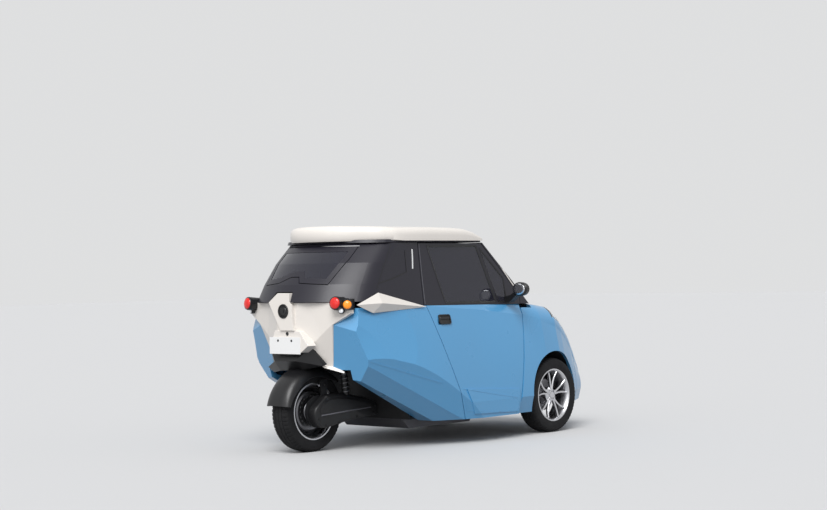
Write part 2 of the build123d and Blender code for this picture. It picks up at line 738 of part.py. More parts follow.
# Corners of the white shoulder blade, right-hand side, as (x, y, z)
BLADE_TAIL = (-26.0, -520.0, 1022.0)
BLADE_CREST = (170.0, -540.0, 1102.0)
BLADE_NOSE = (631.0, -580.0, 992.0)
BLADE_KEEL = (120.0, -535.0, 963.0)
BLADE_RIDGE = (175.0, -575.0, 1029.0)
BLADE_BACK = (175.0, -508.0, 1029.0)


def blade_right(inset):
    """White faceted blade on the rear shoulder."""
    k = inset
    blade = block(BLADE_TAIL[0] + k, BLADE_NOSE[0] - k, -640, -460, 940, 1120)
    middle = tuple((a + b) / 2 for a, b in zip(BLADE_RIDGE, BLADE_BACK))
    ring = (BLADE_TAIL, BLADE_CREST, BLADE_NOSE, BLADE_KEEL)
    for i in range(4):
        for apex in (BLADE_RIDGE, BLADE_BACK):
            blade = trim(blade, ring[i], ring[(i + 1) % 4], apex, middle, inset)
    return blade


def shoulder_blades():
    """The white blade on each shoulder."""
    return both(blade_right(0))


def diffuser():
    """Dark valance that closes the notch behind the wheel."""
    return cross_prism([(-236, 612), (-182, 726), (182, 726), (236, 612)], -134, -108)


# Underbody and cabin


TUB_Y = 318.0
FIREWALL_X = WHEELBASE - 362
FLOOR_Z = 190.0
SHEET = 20.0
BOOT_Z = 650.0
BOOT_REAR_X = 6.0
TUB_PATH = (
    # x, z of the outer line and of the inner line, along scuttle, toe board, floor, bulkhead and boot floor
    (WHEELBASE - 162, 960, WHEELBASE - 188, 960),
    (WHEELBASE - 62, 720, WHEELBASE - 86, 716),
    (WHEELBASE - 132, FLOOR_Z, WHEELBASE - 152, FLOOR_Z + SHEET),
    (625, FLOOR_Z, 639, FLOOR_Z + SHEET),
    (480, BOOT_Z, 494, BOOT_Z + SHEET),
    (BOOT_REAR_X, BOOT_Z, BOOT_REAR_X, BOOT_Z + SHEET),
)
FIREWALL_RISE = 140.0


def floor_tub():
    """Floor, toe box, firewall, rear bulkhead and boot floor."""
    outer = [(x, z) for x, z, _, _ in TUB_PATH]
    inner = [(x, z) for _, _, x, z in TUB_PATH]
    middle = side_prism([*outer, *reversed(inner)], -TUB_Y, TUB_Y)
    beside = block(BOOT_REAR_X - 1, 80, -TUB_Y - 1, -POD_INNER_Y + 5, BOOT_Z - 1, BOOT_Z + SHEET + 1)
    middle = middle - beside - other_side(beside)
    floor = block(1012, FIREWALL_X + 12, -508, 508, FLOOR_Z, FLOOR_Z + SHEET)
    floor_rear = block(630, 1100, -394, 394, FLOOR_Z, FLOOR_Z + SHEET)
    wall = [(625, FLOOR_Z), (480, BOOT_Z), (494, BOOT_Z + SHEET), (639, FLOOR_Z + SHEET)]
    bulkhead = side_prism(wall, -394, 394)
    boot = block(80, 482, -394, 394, BOOT_Z, BOOT_Z + SHEET)
    back = [(FIREWALL_X, FLOOR_Z), (FIREWALL_X, 330), (FIREWALL_X + FIREWALL_RISE, 950)]
    front = [(x + 12, z) for x, z in reversed(back)]
    toe = [(WHEELBASE - 142, FLOOR_Z), (WHEELBASE - 72, 716), (WHEELBASE - 166, 948)]
    cheek = side_prism([*toe, *reversed(back)], -TUB_Y - 10, -TUB_Y + 2)
    firewall = side_prism([*back, *front], -800, -TUB_Y + 2) & front_volume(SKIN + 1)
    firewall = firewall - across(WHEELBASE, TYRE_R, ARCH_R + LINER_T + 1, -800, -ARCH_IN_Y + LINER_T + 1)
    sides = joined(cheek, firewall)
    return joined(middle, floor, floor_rear, bulkhead, boot, sides, other_side(sides))


def battery_pack():
    """Plain block under the cabin floor."""
    outline = [(640, FLOOR_Z), (720, 116), (1400, 116), (1450, FLOOR_Z)]
    return side_prism(outline, -310, 310)


def seat(y):
    """One seat: plinth, cushion and leaning back."""
    plinth = block(760, 1120, y - 145, y + 145, FLOOR_Z + SHEET, 310)
    cushion = side_prism([(700, 300), (1180, 330), (1190, 430), (740, 400)], y - 220, y + 220)
    back = side_prism([(690, 300), (790, 405), (690, 1120), (600, 1110)], y - 215, y + 215)
    return joined(plinth, cushion, back)


WHEEL_LEAN = 24.0
WHEEL_CENTRE = (1385.0, 250.0, 850.0)
WHEEL_AXIS = (-cos(radians(WHEEL_LEAN)), 0.0, sin(radians(WHEEL_LEAN)))
WHEEL_PLANE = Plane(origin=WHEEL_CENTRE, x_dir=(0, -1, 0), z_dir=WHEEL_AXIS)


def dashboard():
    """Dash across the cabin."""
    outline = [(-512, 700), (-412, 640), (-312, 640), (-242, 945), (-452, 960), (-512, 880)]
    pad = side_prism([(WHEELBASE + x, z) for x, z in outline], -465, 465)
    shroud = WHEEL_PLANE * Pos(0, 0, -150) * Cylinder(32, 70)
    return pad + shroud


# Running gear


def tyre(x, y):
    """One tyre, turned about the axle."""
    h = TYRE_W / 2
    half = [
        (RIM_R - 6, h - 10),
        (RIM_R + 4, h - 8),
        (TYRE_R - 42, h),
        (TYRE_R - 12, h - 6),
        (TYRE_R - 2, h - 26),
        (TYRE_R, 0),
    ]
    ring = half + [(r, -w) for r, w in reversed(half[:-1])]
    profile = make_face(Polyline(*[(0, w, r) for r, w in ring], close=True))
    return Pos(x, y, TYRE_R) * revolve(profile, Axis.Y)


def rim(x, y, side, hub_r):
    """Alloy rim: barrel, hub, brake disc and five pairs of spokes."""
    h = RIM_W / 2
    barrel = Cylinder(RIM_R - 6.5, RIM_W) - Cylinder(RIM_R - 19, RIM_W)
    hub = Pos(0, 0, 12) * Cylinder(62, 76)
    disc = Pos(0, 0, -34) * Cylinder(120, 8)
    whole = joined(barrel, hub, Pos(0, 0, -28) * Cylinder(50, 12), disc)
    reach = RIM_R - 12 - 50
    for i in range(5):
        for lean in (-9, 9):
            bar = Pos(50 + reach / 2, 0, h - 22) * Box(reach, 14, 26)
            whole = whole + Rot(0, 0, i * 72 + lean) * bar
    whole = whole - Cylinder(hub_r, 400)
    return Pos(x, y, TYRE_R) * Rot(90 if side < 0 else -90, 0, 0) * whole


PIN_Y = TRACK_HALF - 77
TIE_Y = PIN_Y - 30
PIN_R = 9.0
AXLE_R = 20.0
AXLE_CLEAR = 0.1
EYE_LOW_Z = 166.0
EYE_HIGH_Z = 398.0
RACK_X = WHEELBASE + 122
RACK_Z = TYRE_R - 62
ROD_R = 9.0


def knuckle_right():
    """Upright with king pins, stub axle, caliper and steering arm."""
    outline = [(-34, 172), (34, 172), (46, 282), (30, 392), (-30, 392), (-46, 282)]
    upright = side_prism([(WHEELBASE + x, z) for x, z in outline], -PIN_Y - 14, -PIN_Y + 14)
    pin = Pos(WHEELBASE, -PIN_Y, TYRE_R) * Cylinder(PIN_R, 272)
    stub = across(WHEELBASE, TYRE_R, AXLE_R, -TRACK_HALF - 50, -PIN_Y)
    plan = [
        (WHEELBASE + 20, -PIN_Y - 10),
        (WHEELBASE + 20, -PIN_Y + 12),
        (RACK_X + 14, -TIE_Y + 11),
        (RACK_X + 14, -TIE_Y - 11),
    ]
    arm = plan_prism(plan, RACK_Z + 14, RACK_Z + 30)
    caliper = block(WHEELBASE - 136, WHEELBASE - 72, -PIN_Y - 62, -PIN_Y - 2, 252, 322)
    caliper = caliper + block(WHEELBASE - 100, WHEELBASE - 20, -PIN_Y - 14, -PIN_Y - 2, 262, 312)
    slot = across(WHEELBASE, TYRE_R, 124, -PIN_Y - 50, -PIN_Y - 36)
    return joined(upright, pin, stub, arm, caliper - slot)


def eye(z):
    """Ball-joint eye round the king pin."""
    return Pos(WHEELBASE, -PIN_Y, z) * (Cylinder(22, 18) - Cylinder(PIN_R + 1.5, 18))


BEAM_X = WHEELBASE + 428
TOW_Y = -200.0
TOW_Z = 318.0
TOW_R = 8.0
TOW_DEPTH = 45.0


def front_suspension():
    """Wishbones, dampers, the subframe between them and the front beam with its tow-eye thread."""
    fork = []
    for z, spread, r in ((EYE_LOW_Z - 8, 105, 12), (EYE_HIGH_Z + 10, 80, 10)):
        fork.append(eye(z))
        for way in (-1, 1):
            start = (WHEELBASE + way * 14, -PIN_Y + 14, z)
            fork.append(rod(start, (WHEELBASE + way * spread, -ARCH_IN_Y + 22, z + 12), r))
    low_rail = block(WHEELBASE - 150, WHEELBASE + 80, -ARCH_IN_Y + 8, -ARCH_IN_Y + 42, 148, FLOOR_Z)
    high_rail = block(WHEELBASE - 90, WHEELBASE + 110, -ARCH_IN_Y + 8, -ARCH_IN_Y + 42, 396, 440)
    posts = block(WHEELBASE - 90, WHEELBASE - 66, -ARCH_IN_Y + 12, -ARCH_IN_Y + 40, 180, 400)
    tower = block(WHEELBASE - 40, WHEELBASE + 40, -ARCH_IN_Y + 8, -ARCH_IN_Y + 40, 430, 640)
    damper = rod((WHEELBASE - 40, -PIN_Y + 60, EYE_LOW_Z + 14), (WHEELBASE - 40, -ARCH_IN_Y - 12, 580), 16)
    head = block(WHEELBASE - 64, WHEELBASE - 16, -ARCH_IN_Y - 40, -ARCH_IN_Y + 20, 568, 600)
    side = joined(low_rail, high_rail, posts, tower, *fork, damper, head)
    beam_low = block(WHEELBASE - 120, WHEELBASE - 84, -ARCH_IN_Y + 20, ARCH_IN_Y - 20, 152, FLOOR_Z - 2)
    beam_high = block(WHEELBASE - 20, WHEELBASE + 20, -ARCH_IN_Y + 20, ARCH_IN_Y - 20, 400, 436)
    horn = block(WHEELBASE + 70, BEAM_X, -ARCH_IN_Y + 8, -ARCH_IN_Y + 42, 290, 340)
    link = block(WHEELBASE + 60, WHEELBASE + 100, -ARCH_IN_Y + 8, -ARCH_IN_Y + 42, 290, 440)
    bumper = block(BEAM_X - 20, BEAM_X + 10, -420, 420, 285, 345)
    tow = across_x(BEAM_X - 40, BEAM_X + 10, TOW_Y, TOW_Z, 22)
    side = joined(side, horn, link)
    frame = joined(side, other_side(side), beam_low, beam_high, bumper, tow)
    return frame - across_x(BEAM_X + 10 - TOW_DEPTH, BEAM_X + 20, TOW_Y, TOW_Z, TOW_R)


def steering_rack():
    """Rack bar with its two tie rods, each ending in an eye under the steering arm."""
    bar = rod((RACK_X, -TIE_Y + 4, RACK_Z), (RACK_X, TIE_Y - 4, RACK_Z), ROD_R)
    ends = Pos(RACK_X, -TIE_Y, RACK_Z) * Cylinder(13, 20)
    return joined(bar, ends, other_side(ends))


def rack_housing():
    """Tube that the rack slides in, with its pinion box, fixed to the subframe."""
    tube = across(RACK_X, RACK_Z, 22, -250, 250) - across(RACK_X, RACK_Z, ROD_R + 1, -260, 260)
    feet = block(WHEELBASE + 10, RACK_X - 12, -230, -190, RACK_Z - 10, RACK_Z + 10)
    beam = block(WHEELBASE - 20, WHEELBASE + 20, -ARCH_IN_Y + 8, ARCH_IN_Y - 8, RACK_Z - 30, RACK_Z + 20)
    return joined(tube - block(RACK_X - 30, RACK_X - 22, -260, 260, 0, 400), feet, other_side(feet), beam)


ARM_IN_Y = 103.0


def swing_arm():
    """Black drive casing on the right of the rear wheel, and its plain twin on the left."""
    low = [(-70, 165), (0, 130), (210, 126), (490, 176), (545, 220)]
    high = [(545, 300), (490, 340), (255, 355), (50, 352), (-60, 330), (-96, 270)]
    casing = side_prism([*low, *high], -168, -ARM_IN_Y)
    axle = across(0, TYRE_R, AXLE_R, -150, 120)
    plain = side_prism([(-40, 245), (500, 235), (500, 300), (-40, 318)], ARM_IN_Y, 132)
    cross = across(492, 262, 28, -120, 120)
    return joined(casing, plain, cross, axle)


def motor():
    """Plain block for the drive motor, on the arm in front of the wheel."""
    return across(388, 268, 64, -ARM_IN_Y, ARM_IN_Y)


def rear_damper():
    """Damper between the arm and the boot floor."""
    spring = rod((240, -146, 385), (214, -146, 622), 24)
    foot = block(218, 262, -160, -132, 355, 400)
    head = block(192, 236, -160, -132, 610, BOOT_Z)
    return joined(spring, foot, head)


GUARD_Y = 112.0
GUARD_T = 10.0
GUARD_LOW_Z = 337.0
GUARD_EDGE = (
    # y, and how far the guard's outside and its inside lie within its crown there
    (0, 0, GUARD_T),
    (60, 5, GUARD_T + 5),
    (92, 26, GUARD_T + 28),
    (GUARD_Y, 66, GUARD_T + 60),
)


def mudguard():
    """Rounded guard over the rear wheel, with a stay down to the drive casing."""
    crown = hypot(REAR_OVERHANG, GUARD_LOW_Z - TYRE_R)
    outer = [(y, crown - drop) for y, drop, _ in GUARD_EDGE]
    inner = [(y - (GUARD_T if y > 70 else 0), crown - drop) for y, _, drop in GUARD_EDGE]
    half = [*outer, *reversed(inner)]
    profile = make_face(Polyline(*[(0, y, r) for y, r in half], close=True))
    guard = Pos(0, 0, TYRE_R) * revolve(profile, Axis.Y)
    guard = (guard + other_side(guard)) & block(-400, 230, -200, 200, GUARD_LOW_Z, 700)
    stay = side_prism([(30, 353), (80, 353), (90, 500), (26, 500)], -GUARD_Y - 4, -ARM_IN_Y - 1)
    return guard + stay


def steering_wheel():
    """Ring on its column."""
    ring = Torus(170, 15)
    bars = joined(Box(330, 24, 12), Pos(0, -85, 0) * Box(24, 165, 12), Cylinder(34, 34))
    column = Pos(0, 0, -52) * Cylinder(14, 104)
    return WHEEL_PLANE * joined(ring, bars, column)


MIRROR = (
    # x, half width and half height of the mirror's rounded head
    (1528.0, 58.0, 44.0),
    (1540.0, 68.0, 52.0),
    (1572.0, 66.0, 50.0),
    (1604.0, 38.0, 28.0),
)
MIRROR_Y = -702.0
MIRROR_Z = 1097.0


def mirror_right():
    """Rounded mirror head on its arm, which stands on the window frame's front foot."""
    rings = []
    for x, half_y, half_z in MIRROR:
        plane = Plane(origin=(x, MIRROR_Y, MIRROR_Z), x_dir=(0, 1, 0), z_dir=(1, 0, 0))
        rings.append(plane * make_face(Ellipse(half_y, half_z).edges()))
    head = loft(rings, ruled=True)
    arm = [(-535, 994), (-596, 1001), (-672, 1064), (-672, 1092), (-600, 1052), (-535, 1040)]
    foot = cross_prism(arm, 1548, 1604) - glass_volume(0)
    return head + largest(foot)


def door_handle_right():
    """Black pull handle in its recess."""
    return block(HANDLE_X - 62, HANDLE_X + 62, -618, -592, HANDLE_Z - 34, HANDLE_Z + 34)


def save(name, shape):
    """Shifts a piece to the car's origin and writes it."""
    placed = Pos(SHIFT_X, 0, 0) * shape
    solids = placed.solids()
    export_step(solids[0] if len(solids) == 1 else Compound(children=solids), f"parts/{name}.step")


def build():
    """Makes every piece and writes it under its node's name."""
    os.makedirs("parts", exist_ok=True)
    pieces = {}
    quarter, door = quarter_right(), door_shell_right()
    fender, nose, bonnet, lamp, cowl = front_pieces()
    rear, frame, windscreen, door_frame, door_glass, hatch_frame, hatch_glass = greenhouse_pieces()
    pieces["tail_panel"] = tail_panel()
    pieces["roof_panel"] = roof_panel()
    pieces["rear_pillars"] = rear
    pieces["windscreen_frame"] = frame
    pieces["windscreen"] = windscreen
    pieces["hatch_frame"] = hatch_frame
    pieces["hatch_glass"] = hatch_glass
    pieces["nose_panel"] = nose
    pieces["bonnet"] = bonnet
    pieces["cowl"] = cowl
    pieces["headlamps"] = both(lamp)
    pieces["charge_port"] = charge_port()
    pieces["number_plate"] = number_plate()
    pieces["tail_lamps"] = tail_lamps()
    pieces["shoulder_blades"] = shoulder_blades()
    pieces["diffuser"] = diffuser()
    pieces["floor_tub"] = floor_tub()
    pieces["battery_pack"] = battery_pack()
    pieces["seat_left"], pieces["seat_right"] = seat(250), seat(-250)
    pieces["dashboard"] = dashboard()
    pieces["front_suspension"] = front_suspension()
    pieces["rack_housing"] = rack_housing()
    pieces["arch_liners"] = arch_liners()
    pieces["motor"] = motor()
    pieces["swing_arm"] = swing_arm()
    pieces["rear_damper"] = rear_damper()
    pieces["mudguard"] = mudguard()
    pieces["steering_wheel"] = steering_wheel()
    pieces["steering_rack"] = steering_rack()
    pieces["tyre_rear"] = tyre(0, 0)
    pieces["rim_rear"] = rim(0, 0, -1, AXLE_R + AXLE_CLEAR)
    for side, name in ((-1, "right"), (1, "left")):
        turn = (lambda s: s) if side < 0 else other_side
        pieces[f"tyre_{name}"] = tyre(WHEELBASE, side * TRACK_HALF)
        pieces[f"rim_{name}"] = rim(WHEELBASE, side * TRACK_HALF, side, AXLE_R + AXLE_CLEAR)
        pieces[f"quarter_{name}"] = turn(quarter)
        pieces[f"door_shell_{name}"] = turn(door)
        pieces[f"door_frame_{name}"] = turn(door_frame)
        pieces[f"door_glass_{name}"] = turn(door_glass)
        pieces[f"door_handle_{name}"] = turn(door_handle_right())
        pieces[f"mirror_{name}"] = turn(mirror_right())
        pieces[f"fender_{name}"] = turn(fender)
        pieces[f"knuckle_{name}"] = turn(knuckle_right())
    for name, shape in pieces.items():
        save(name, shape)


build()
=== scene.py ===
from math import atan2, cos, pi, radians, sin

import bmesh
import bpy
from mathutils import Matrix, Vector
from mathutils.bvhtree import BVHTree


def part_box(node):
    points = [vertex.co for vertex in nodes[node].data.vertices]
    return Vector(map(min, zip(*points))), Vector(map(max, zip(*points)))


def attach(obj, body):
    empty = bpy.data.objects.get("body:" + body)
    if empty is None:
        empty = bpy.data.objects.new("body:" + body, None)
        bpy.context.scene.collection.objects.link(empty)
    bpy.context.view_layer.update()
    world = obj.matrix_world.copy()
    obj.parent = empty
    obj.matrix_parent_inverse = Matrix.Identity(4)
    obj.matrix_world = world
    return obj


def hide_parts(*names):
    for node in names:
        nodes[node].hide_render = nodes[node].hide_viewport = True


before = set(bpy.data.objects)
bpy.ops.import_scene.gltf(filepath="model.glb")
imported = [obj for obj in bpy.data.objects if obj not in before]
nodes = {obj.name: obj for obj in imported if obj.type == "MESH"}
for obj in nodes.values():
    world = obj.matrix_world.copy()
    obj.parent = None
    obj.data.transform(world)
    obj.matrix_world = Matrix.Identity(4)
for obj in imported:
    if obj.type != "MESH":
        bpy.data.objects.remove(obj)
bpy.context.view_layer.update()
scene = bpy.context.scene

# The car's own frame for all the tables: millimetres, x from the rear axle, y to the car's left, z up
MM = 0.001
SHIFT = -1.1415
WHEELBASE = 2012.0
TRACK_HALF = 572.0
TYRE_R = 282.0
SIDES = (("right", -1), ("left", 1))


# Materials

def new_material(name):
    """An empty node material with its shader."""
    made = bpy.data.materials.new(name)
    made.use_nodes = True
    shader = made.node_tree.nodes["Principled BSDF"]
    return made, made.node_tree, shader


def coords(tree, scale, turn=(0, 0, 0)):
    """Object coordinates scaled and turned for a texture."""
    place = tree.nodes.new("ShaderNodeTexCoord")
    mapped = tree.nodes.new("ShaderNodeMapping")
    mapped.inputs["Scale"].default_value = scale if hasattr(scale, "__len__") else (scale,) * 3
    mapped.inputs["Rotation"].default_value = turn
    tree.links.new(place.outputs["Object"], mapped.inputs["Vector"])
    return mapped.outputs["Vector"]


def noise(tree, scale, detail):
    """A noise texture in object space."""
    made = tree.nodes.new("ShaderNodeTexNoise")
    made.inputs["Scale"].default_value = 1.0
    made.inputs["Detail"].default_value = detail
    tree.links.new(coords(tree, scale), made.inputs["Vector"])
    return made.outputs["Fac"]


def spread(tree, value, low, high):
    """Maps a texture from its middle range to low..high."""
    made = tree.nodes.new("ShaderNodeMapRange")
    made.inputs["From Min"].default_value = 0.3
    made.inputs["From Max"].default_value = 0.7
    made.inputs["To Min"].default_value = low
    made.inputs["To Max"].default_value = high
    tree.links.new(value, made.inputs["Value"])
    return made.outputs["Result"]


def mixed(tree, factor, a, b):
    """A colour between a and b by factor."""
    made = tree.nodes.new("ShaderNodeMix")
    made.data_type = "RGBA"
    made.inputs["A"].default_value = (*a, 1)
    made.inputs["B"].default_value = (*b, 1)
    tree.links.new(factor, made.inputs["Factor"])
    return made.outputs["Result"]


def largest(tree, a, b):
    """The larger of two values."""
    made = tree.nodes.new("ShaderNodeMath")
    made.operation = "MAXIMUM"
    tree.links.new(a, made.inputs[0])
    tree.links.new(b, made.inputs[1])
    return made.outputs[0]


def bumped(tree, shader, height, strength, distance):
    """Sets the shader's normal from a height."""
    made = tree.nodes.new("ShaderNodeBump")
    made.inputs["Strength"].default_value = strength
    made.inputs["Distance"].default_value = distance
    tree.links.new(height, made.inputs["Height"])
    tree.links.new(made.outputs["Normal"], shader.inputs["Normal"])


def surface(name, colour, rough=(0.3, 0.4), metallic=0.0, coat=0.0, vary=0.06, grain=600, depth=0.0002,
            strength=0.2, cloud=1.5, gloss=0.5):
    """A paint, plastic or metal: clouded colour, uneven roughness and a fine grain."""
    made, tree, shader = new_material(name)
    dark = tuple(c * (1 - vary) for c in colour)
    light = tuple(min(1.0, c * (1 + vary)) for c in colour)
    tree.links.new(mixed(tree, noise(tree, cloud, 4), dark, light), shader.inputs["Base Color"])
    tree.links.new(spread(tree, noise(tree, cloud * 3, 2), *rough), shader.inputs["Roughness"])
    bumped(tree, shader, noise(tree, grain, 2), strength, depth)
    shader.inputs["Metallic"].default_value = metallic
    shader.inputs["Coat Weight"].default_value = coat
    shader.inputs["Coat Roughness"].default_value = 0.05
    shader.inputs["Specular IOR Level"].default_value = gloss
    return made


def glass(name, colour, clear):
    """Tinted glass with faint streaks of dust."""
    made, tree, shader = new_material(name)
    shader.inputs["Base Color"].default_value = (*colour, 1)
    shader.inputs["Transmission Weight"].default_value = clear
    shader.inputs["IOR"].default_value = 1.45
    tree.links.new(spread(tree, noise(tree, 6, 3), 0.02, 0.06), shader.inputs["Roughness"])
    return made


def lens(name, colour, glow):
    """A lit lamp lens with fine ribs."""
    made = surface(name, colour, (0.12, 0.2), coat=0.3, vary=0.25, grain=260, depth=0.0008, strength=0.4,
                   cloud=30)
    shader = made.node_tree.nodes["Principled BSDF"]
    shader.inputs["Emission Color"].default_value = (*colour, 1)
    shader.inputs["Emission Strength"].default_value = glow
    return made


def woven(name, colour):
    """Seat cloth: two crossing sets of threads."""
    made, tree, shader = new_material(name)
    light = tuple(1.5 * c for c in colour)
    tree.links.new(mixed(tree, noise(tree, 60, 4), colour, light), shader.inputs["Base Color"])
    threads = []
    for turn in (0, pi / 2):
        wave = tree.nodes.new("ShaderNodeTexWave")
        wave.inputs["Scale"].default_value = 1.0
        wave.inputs["Distortion"].default_value = 1.2
        tree.links.new(coords(tree, 190, (0, 0.5, turn)), wave.inputs["Vector"])
        threads.append(wave.outputs["Fac"])
    bumped(tree, shader, largest(tree, *threads), 0.6, 0.0008)
    shader.inputs["Roughness"].default_value = 0.88
    shader.inputs["Sheen Weight"].default_value = 0.25
    return made


PAINT = dict(rough=(0.27, 0.32), vary=0.02, grain=900, depth=0.0001, strength=0.04)
BLUE = surface("blue_paint", (0.078, 0.315, 0.585), coat=0.65, **PAINT)
WHITE = surface("white_paint", (0.80, 0.755, 0.70), coat=0.35, **PAINT)
DARK = surface("dark_gloss", (0.010, 0.009, 0.017), (0.36, 0.42), vary=0.15, depth=0.0001, strength=0.03)
PLASTIC = surface("black_plastic", (0.010, 0.010, 0.011), (0.42, 0.55), vary=0.2, grain=1500, depth=0.0003,
                  strength=0.5)
SATIN = surface("black_satin", (0.007, 0.007, 0.008), (0.3, 0.4), vary=0.2, grain=900, strength=0.25)
STEEL = surface("dark_steel", (0.008, 0.008, 0.009), (0.35, 0.5), vary=0.2, grain=500, depth=0.0004,
                strength=0.3, gloss=0.4)
UNDER = surface("underbody", (0.010, 0.010, 0.011), (0.55, 0.75), vary=0.3, grain=260, depth=0.0008,
                strength=0.5, gloss=0.3)
ALLOY = surface("alloy", (0.60, 0.60, 0.62), (0.24, 0.36), metallic=1.0, grain=(60, 60, 1200), depth=0.0001,
                strength=0.15)
GREY_ALLOY = surface("grey_alloy", (0.16, 0.16, 0.17), (0.3, 0.42), metallic=1.0, vary=0.1, grain=500)
RUBBER = surface("tyre_rubber", (0.011, 0.011, 0.012), (0.7, 0.85), vary=0.3, grain=700, depth=0.0005,
                 strength=0.5, cloud=9, gloss=0.25)
PLATE = surface("blank_plate", (0.84, 0.84, 0.83), (0.35, 0.45), vary=0.02, grain=800, depth=0.0001,
                strength=0.1)
CASE = surface("battery_case", (0.10, 0.10, 0.11), (0.4, 0.55), metallic=0.6, vary=0.15)
FABRIC = woven("seat_cloth", (0.030, 0.030, 0.035))
STITCH = surface("seam_thread", (0.10, 0.10, 0.11), (0.7, 0.8), vary=0.2, grain=900, strength=0.6)
WINDOW = glass("window_glass", (0.07, 0.07, 0.10), 0.7)
CLEAR = glass("lamp_glass", (0.85, 0.88, 0.92), 0.92)
MIRROR = surface("mirror_glass", (0.7, 0.72, 0.75), (0.02, 0.04), metallic=1.0, vary=0.02, strength=0.0)
RED = lens("red_lens", (0.62, 0.010, 0.006), 0.22)
AMBER = lens("amber_lens", (0.95, 0.26, 0.008), 0.3)
PALE = lens("pale_lens", (0.9, 0.92, 0.95), 0.3)
# Mid grey laid on black parts as painted highlight lines: the drive casing's rib and the door frame's edge by
# the shut gap
PAINTED_HIGHLIGHT_GREY = surface("painted_highlight_grey", (0.16, 0.16, 0.18), vary=0.1)

# The CAD nodes' materials; a name without a side stands for both sides' nodes
BY_NODE = {
    "tail_panel": WHITE, "roof_panel": WHITE, "rear_pillars": DARK, "windscreen_frame": DARK,
    "windscreen": WINDOW, "nose_panel": BLUE, "cowl": PLASTIC, "headlamps": CLEAR, "charge_port": SATIN,
    "number_plate": PLATE, "tail_lamps": SATIN, "shoulder_blades": WHITE, "diffuser": SATIN,
    "floor_tub": UNDER, "battery_pack": CASE, "seat": FABRIC, "dashboard": PLASTIC, "front_suspension": STEEL,
    "rack_housing": STEEL, "arch_liners": UNDER, "motor": STEEL, "swing_arm": STEEL, "rear_damper": STEEL,
    "mudguard": SATIN, "steering_rack": ALLOY, "steering_wheel": PLASTIC, "bonnet": BLUE, "hatch_frame": DARK,
    "hatch_glass": WINDOW, "tyre": RUBBER, "tyre_rear": RUBBER, "rim": ALLOY, "rim_rear": GREY_ALLOY,
    "quarter": BLUE, "fender": BLUE, "knuckle": STEEL, "door_shell": BLUE, "door_frame": DARK,
    "door_glass": WINDOW, "door_handle": SATIN, "mirror": SATIN,
}
# Nodes with shallow creases, and the angles from which an edge is shaded sharp
CREASED = ("quarter_", "door_shell_", "shoulder_blades")
CREASE_DEGREES, EDGE_DEGREES = 7, 28


def smooth(mesh, degrees):
    """Smooth shading with sharp edges where the surface turns by more than the angle."""
    if "custom_normal" in mesh.attributes:
        mesh.attributes.remove(mesh.attributes["custom_normal"])
    for face in mesh.polygons:
        face.use_smooth = True
    mesh.set_sharp_from_angle(angle=radians(degrees))


for name, node in nodes.items():
    plain_name = name.removesuffix("_right").removesuffix("_left")
    node.data.materials.clear()
    node.data.materials.append(BY_NODE[plain_name])
    smooth(node.data, CREASE_DEGREES if name.startswith(CREASED) else EDGE_DEGREES)


# Mesh helpers: a part is a list of points and a list of faces

WELD = 1e-6


def merge(*parts):
    """Several parts as one."""
    points, faces = [], []
    for part_points, part_faces in parts:
        start = len(points)
        points += part_points
        faces += [tuple(start + i for i in face) for face in part_faces]
    return points, faces


def flipped(part):
    """The part's twin on the other side of the car."""
    points, faces = part
    return [(x, -y, z) for x, y, z in points], [tuple(reversed(face)) for face in faces]


def on_side(part, way):
    """A part made for the right-hand side, for either side."""
    return part if way < 0 else flipped(part)


def grid(rows, round_rows=False, round_points=False, cap=False):
    """Faces between neighbouring rows of points."""
    count = len(rows[0])
    faces = []
    for r in range(len(rows) if round_rows else len(rows) - 1):
        after = (r + 1) % len(rows)
        for i in range(count if round_points else count - 1):
            j = (i + 1) % count
            faces.append((r * count + i, r * count + j, after * count + j, after * count + i))
    if cap:
        faces.append(tuple(reversed(range(count))))
        faces.append(tuple(range((len(rows) - 1) * count, len(rows) * count)))
    return [tuple(p) for row in rows for p in row], faces


def loft(*rings):
    """A closed solid through rings of points."""
    return grid(rings, round_points=True, cap=True)


def welded(part):
    """The part with points that lie together made one."""
    points, faces = part
    found, kept, index = {}, [], []
    for p in points:
        key = tuple(round(v, 2) for v in p)
        if key not in found:
            found[key] = len(kept)
            kept.append(p)
        index.append(found[key])
    return kept, [tuple(index[i] for i in face) for face in faces]


def thick(part, move):
    """Closes an open sheet into a plate, its second side moved by the vector."""
    points, faces = welded(part)
    count = len(points)
    inner = [tuple(p[i] + move[i] for i in range(3)) for p in points]
    edges = {(a, b) for face in faces for a, b in zip(face, face[1:] + face[:1])}
    walls = [(b, a, a + count, b + count) for a, b in sorted(edges) if (b, a) not in edges]
    back = [tuple(count + i for i in reversed(face)) for face in faces]
    return points + inner, list(faces) + back + walls


def axes_about(axis):
    """The axis and two directions across it, all of length one."""
    axis = Vector(axis).normalized()
    side = axis.orthogonal().normalized()
    return axis, side, axis.cross(side)


def lathe(profile, centre, axis, steps=48, ring=False):
    """Turns a profile of (distance along the axis, radius) about an axis."""
    axis, side, other = axes_about(axis)
    rows = []
    for k in range(steps):
        out = side * cos(2 * pi * k / steps) + other * sin(2 * pi * k / steps)
        rows.append([Vector(centre) + axis * d + out * r for d, r in profile])
    return grid(rows, round_rows=True, round_points=ring)


def rod(a, b, r, steps=12):
    """A round bar with small chamfers."""
    length = (Vector(b) - Vector(a)).length
    cut = min(r * 0.25, length * 0.2)
    profile = [(0, 0), (0, r - cut), (cut, r), (length - cut, r), (length, r - cut), (length, 0)]
    return lathe(profile, a, Vector(b) - Vector(a), steps)


def slab(outline, axis, low, high):
    """A prism over an outline: its points are the two other coordinates in order."""
    rings = []
    for value in (low, high):
        ring = []
        for p in outline:
            point = list(p)
            point.insert(axis, value)
            ring.append(tuple(point))
        rings.append(ring)
    return loft(*rings)


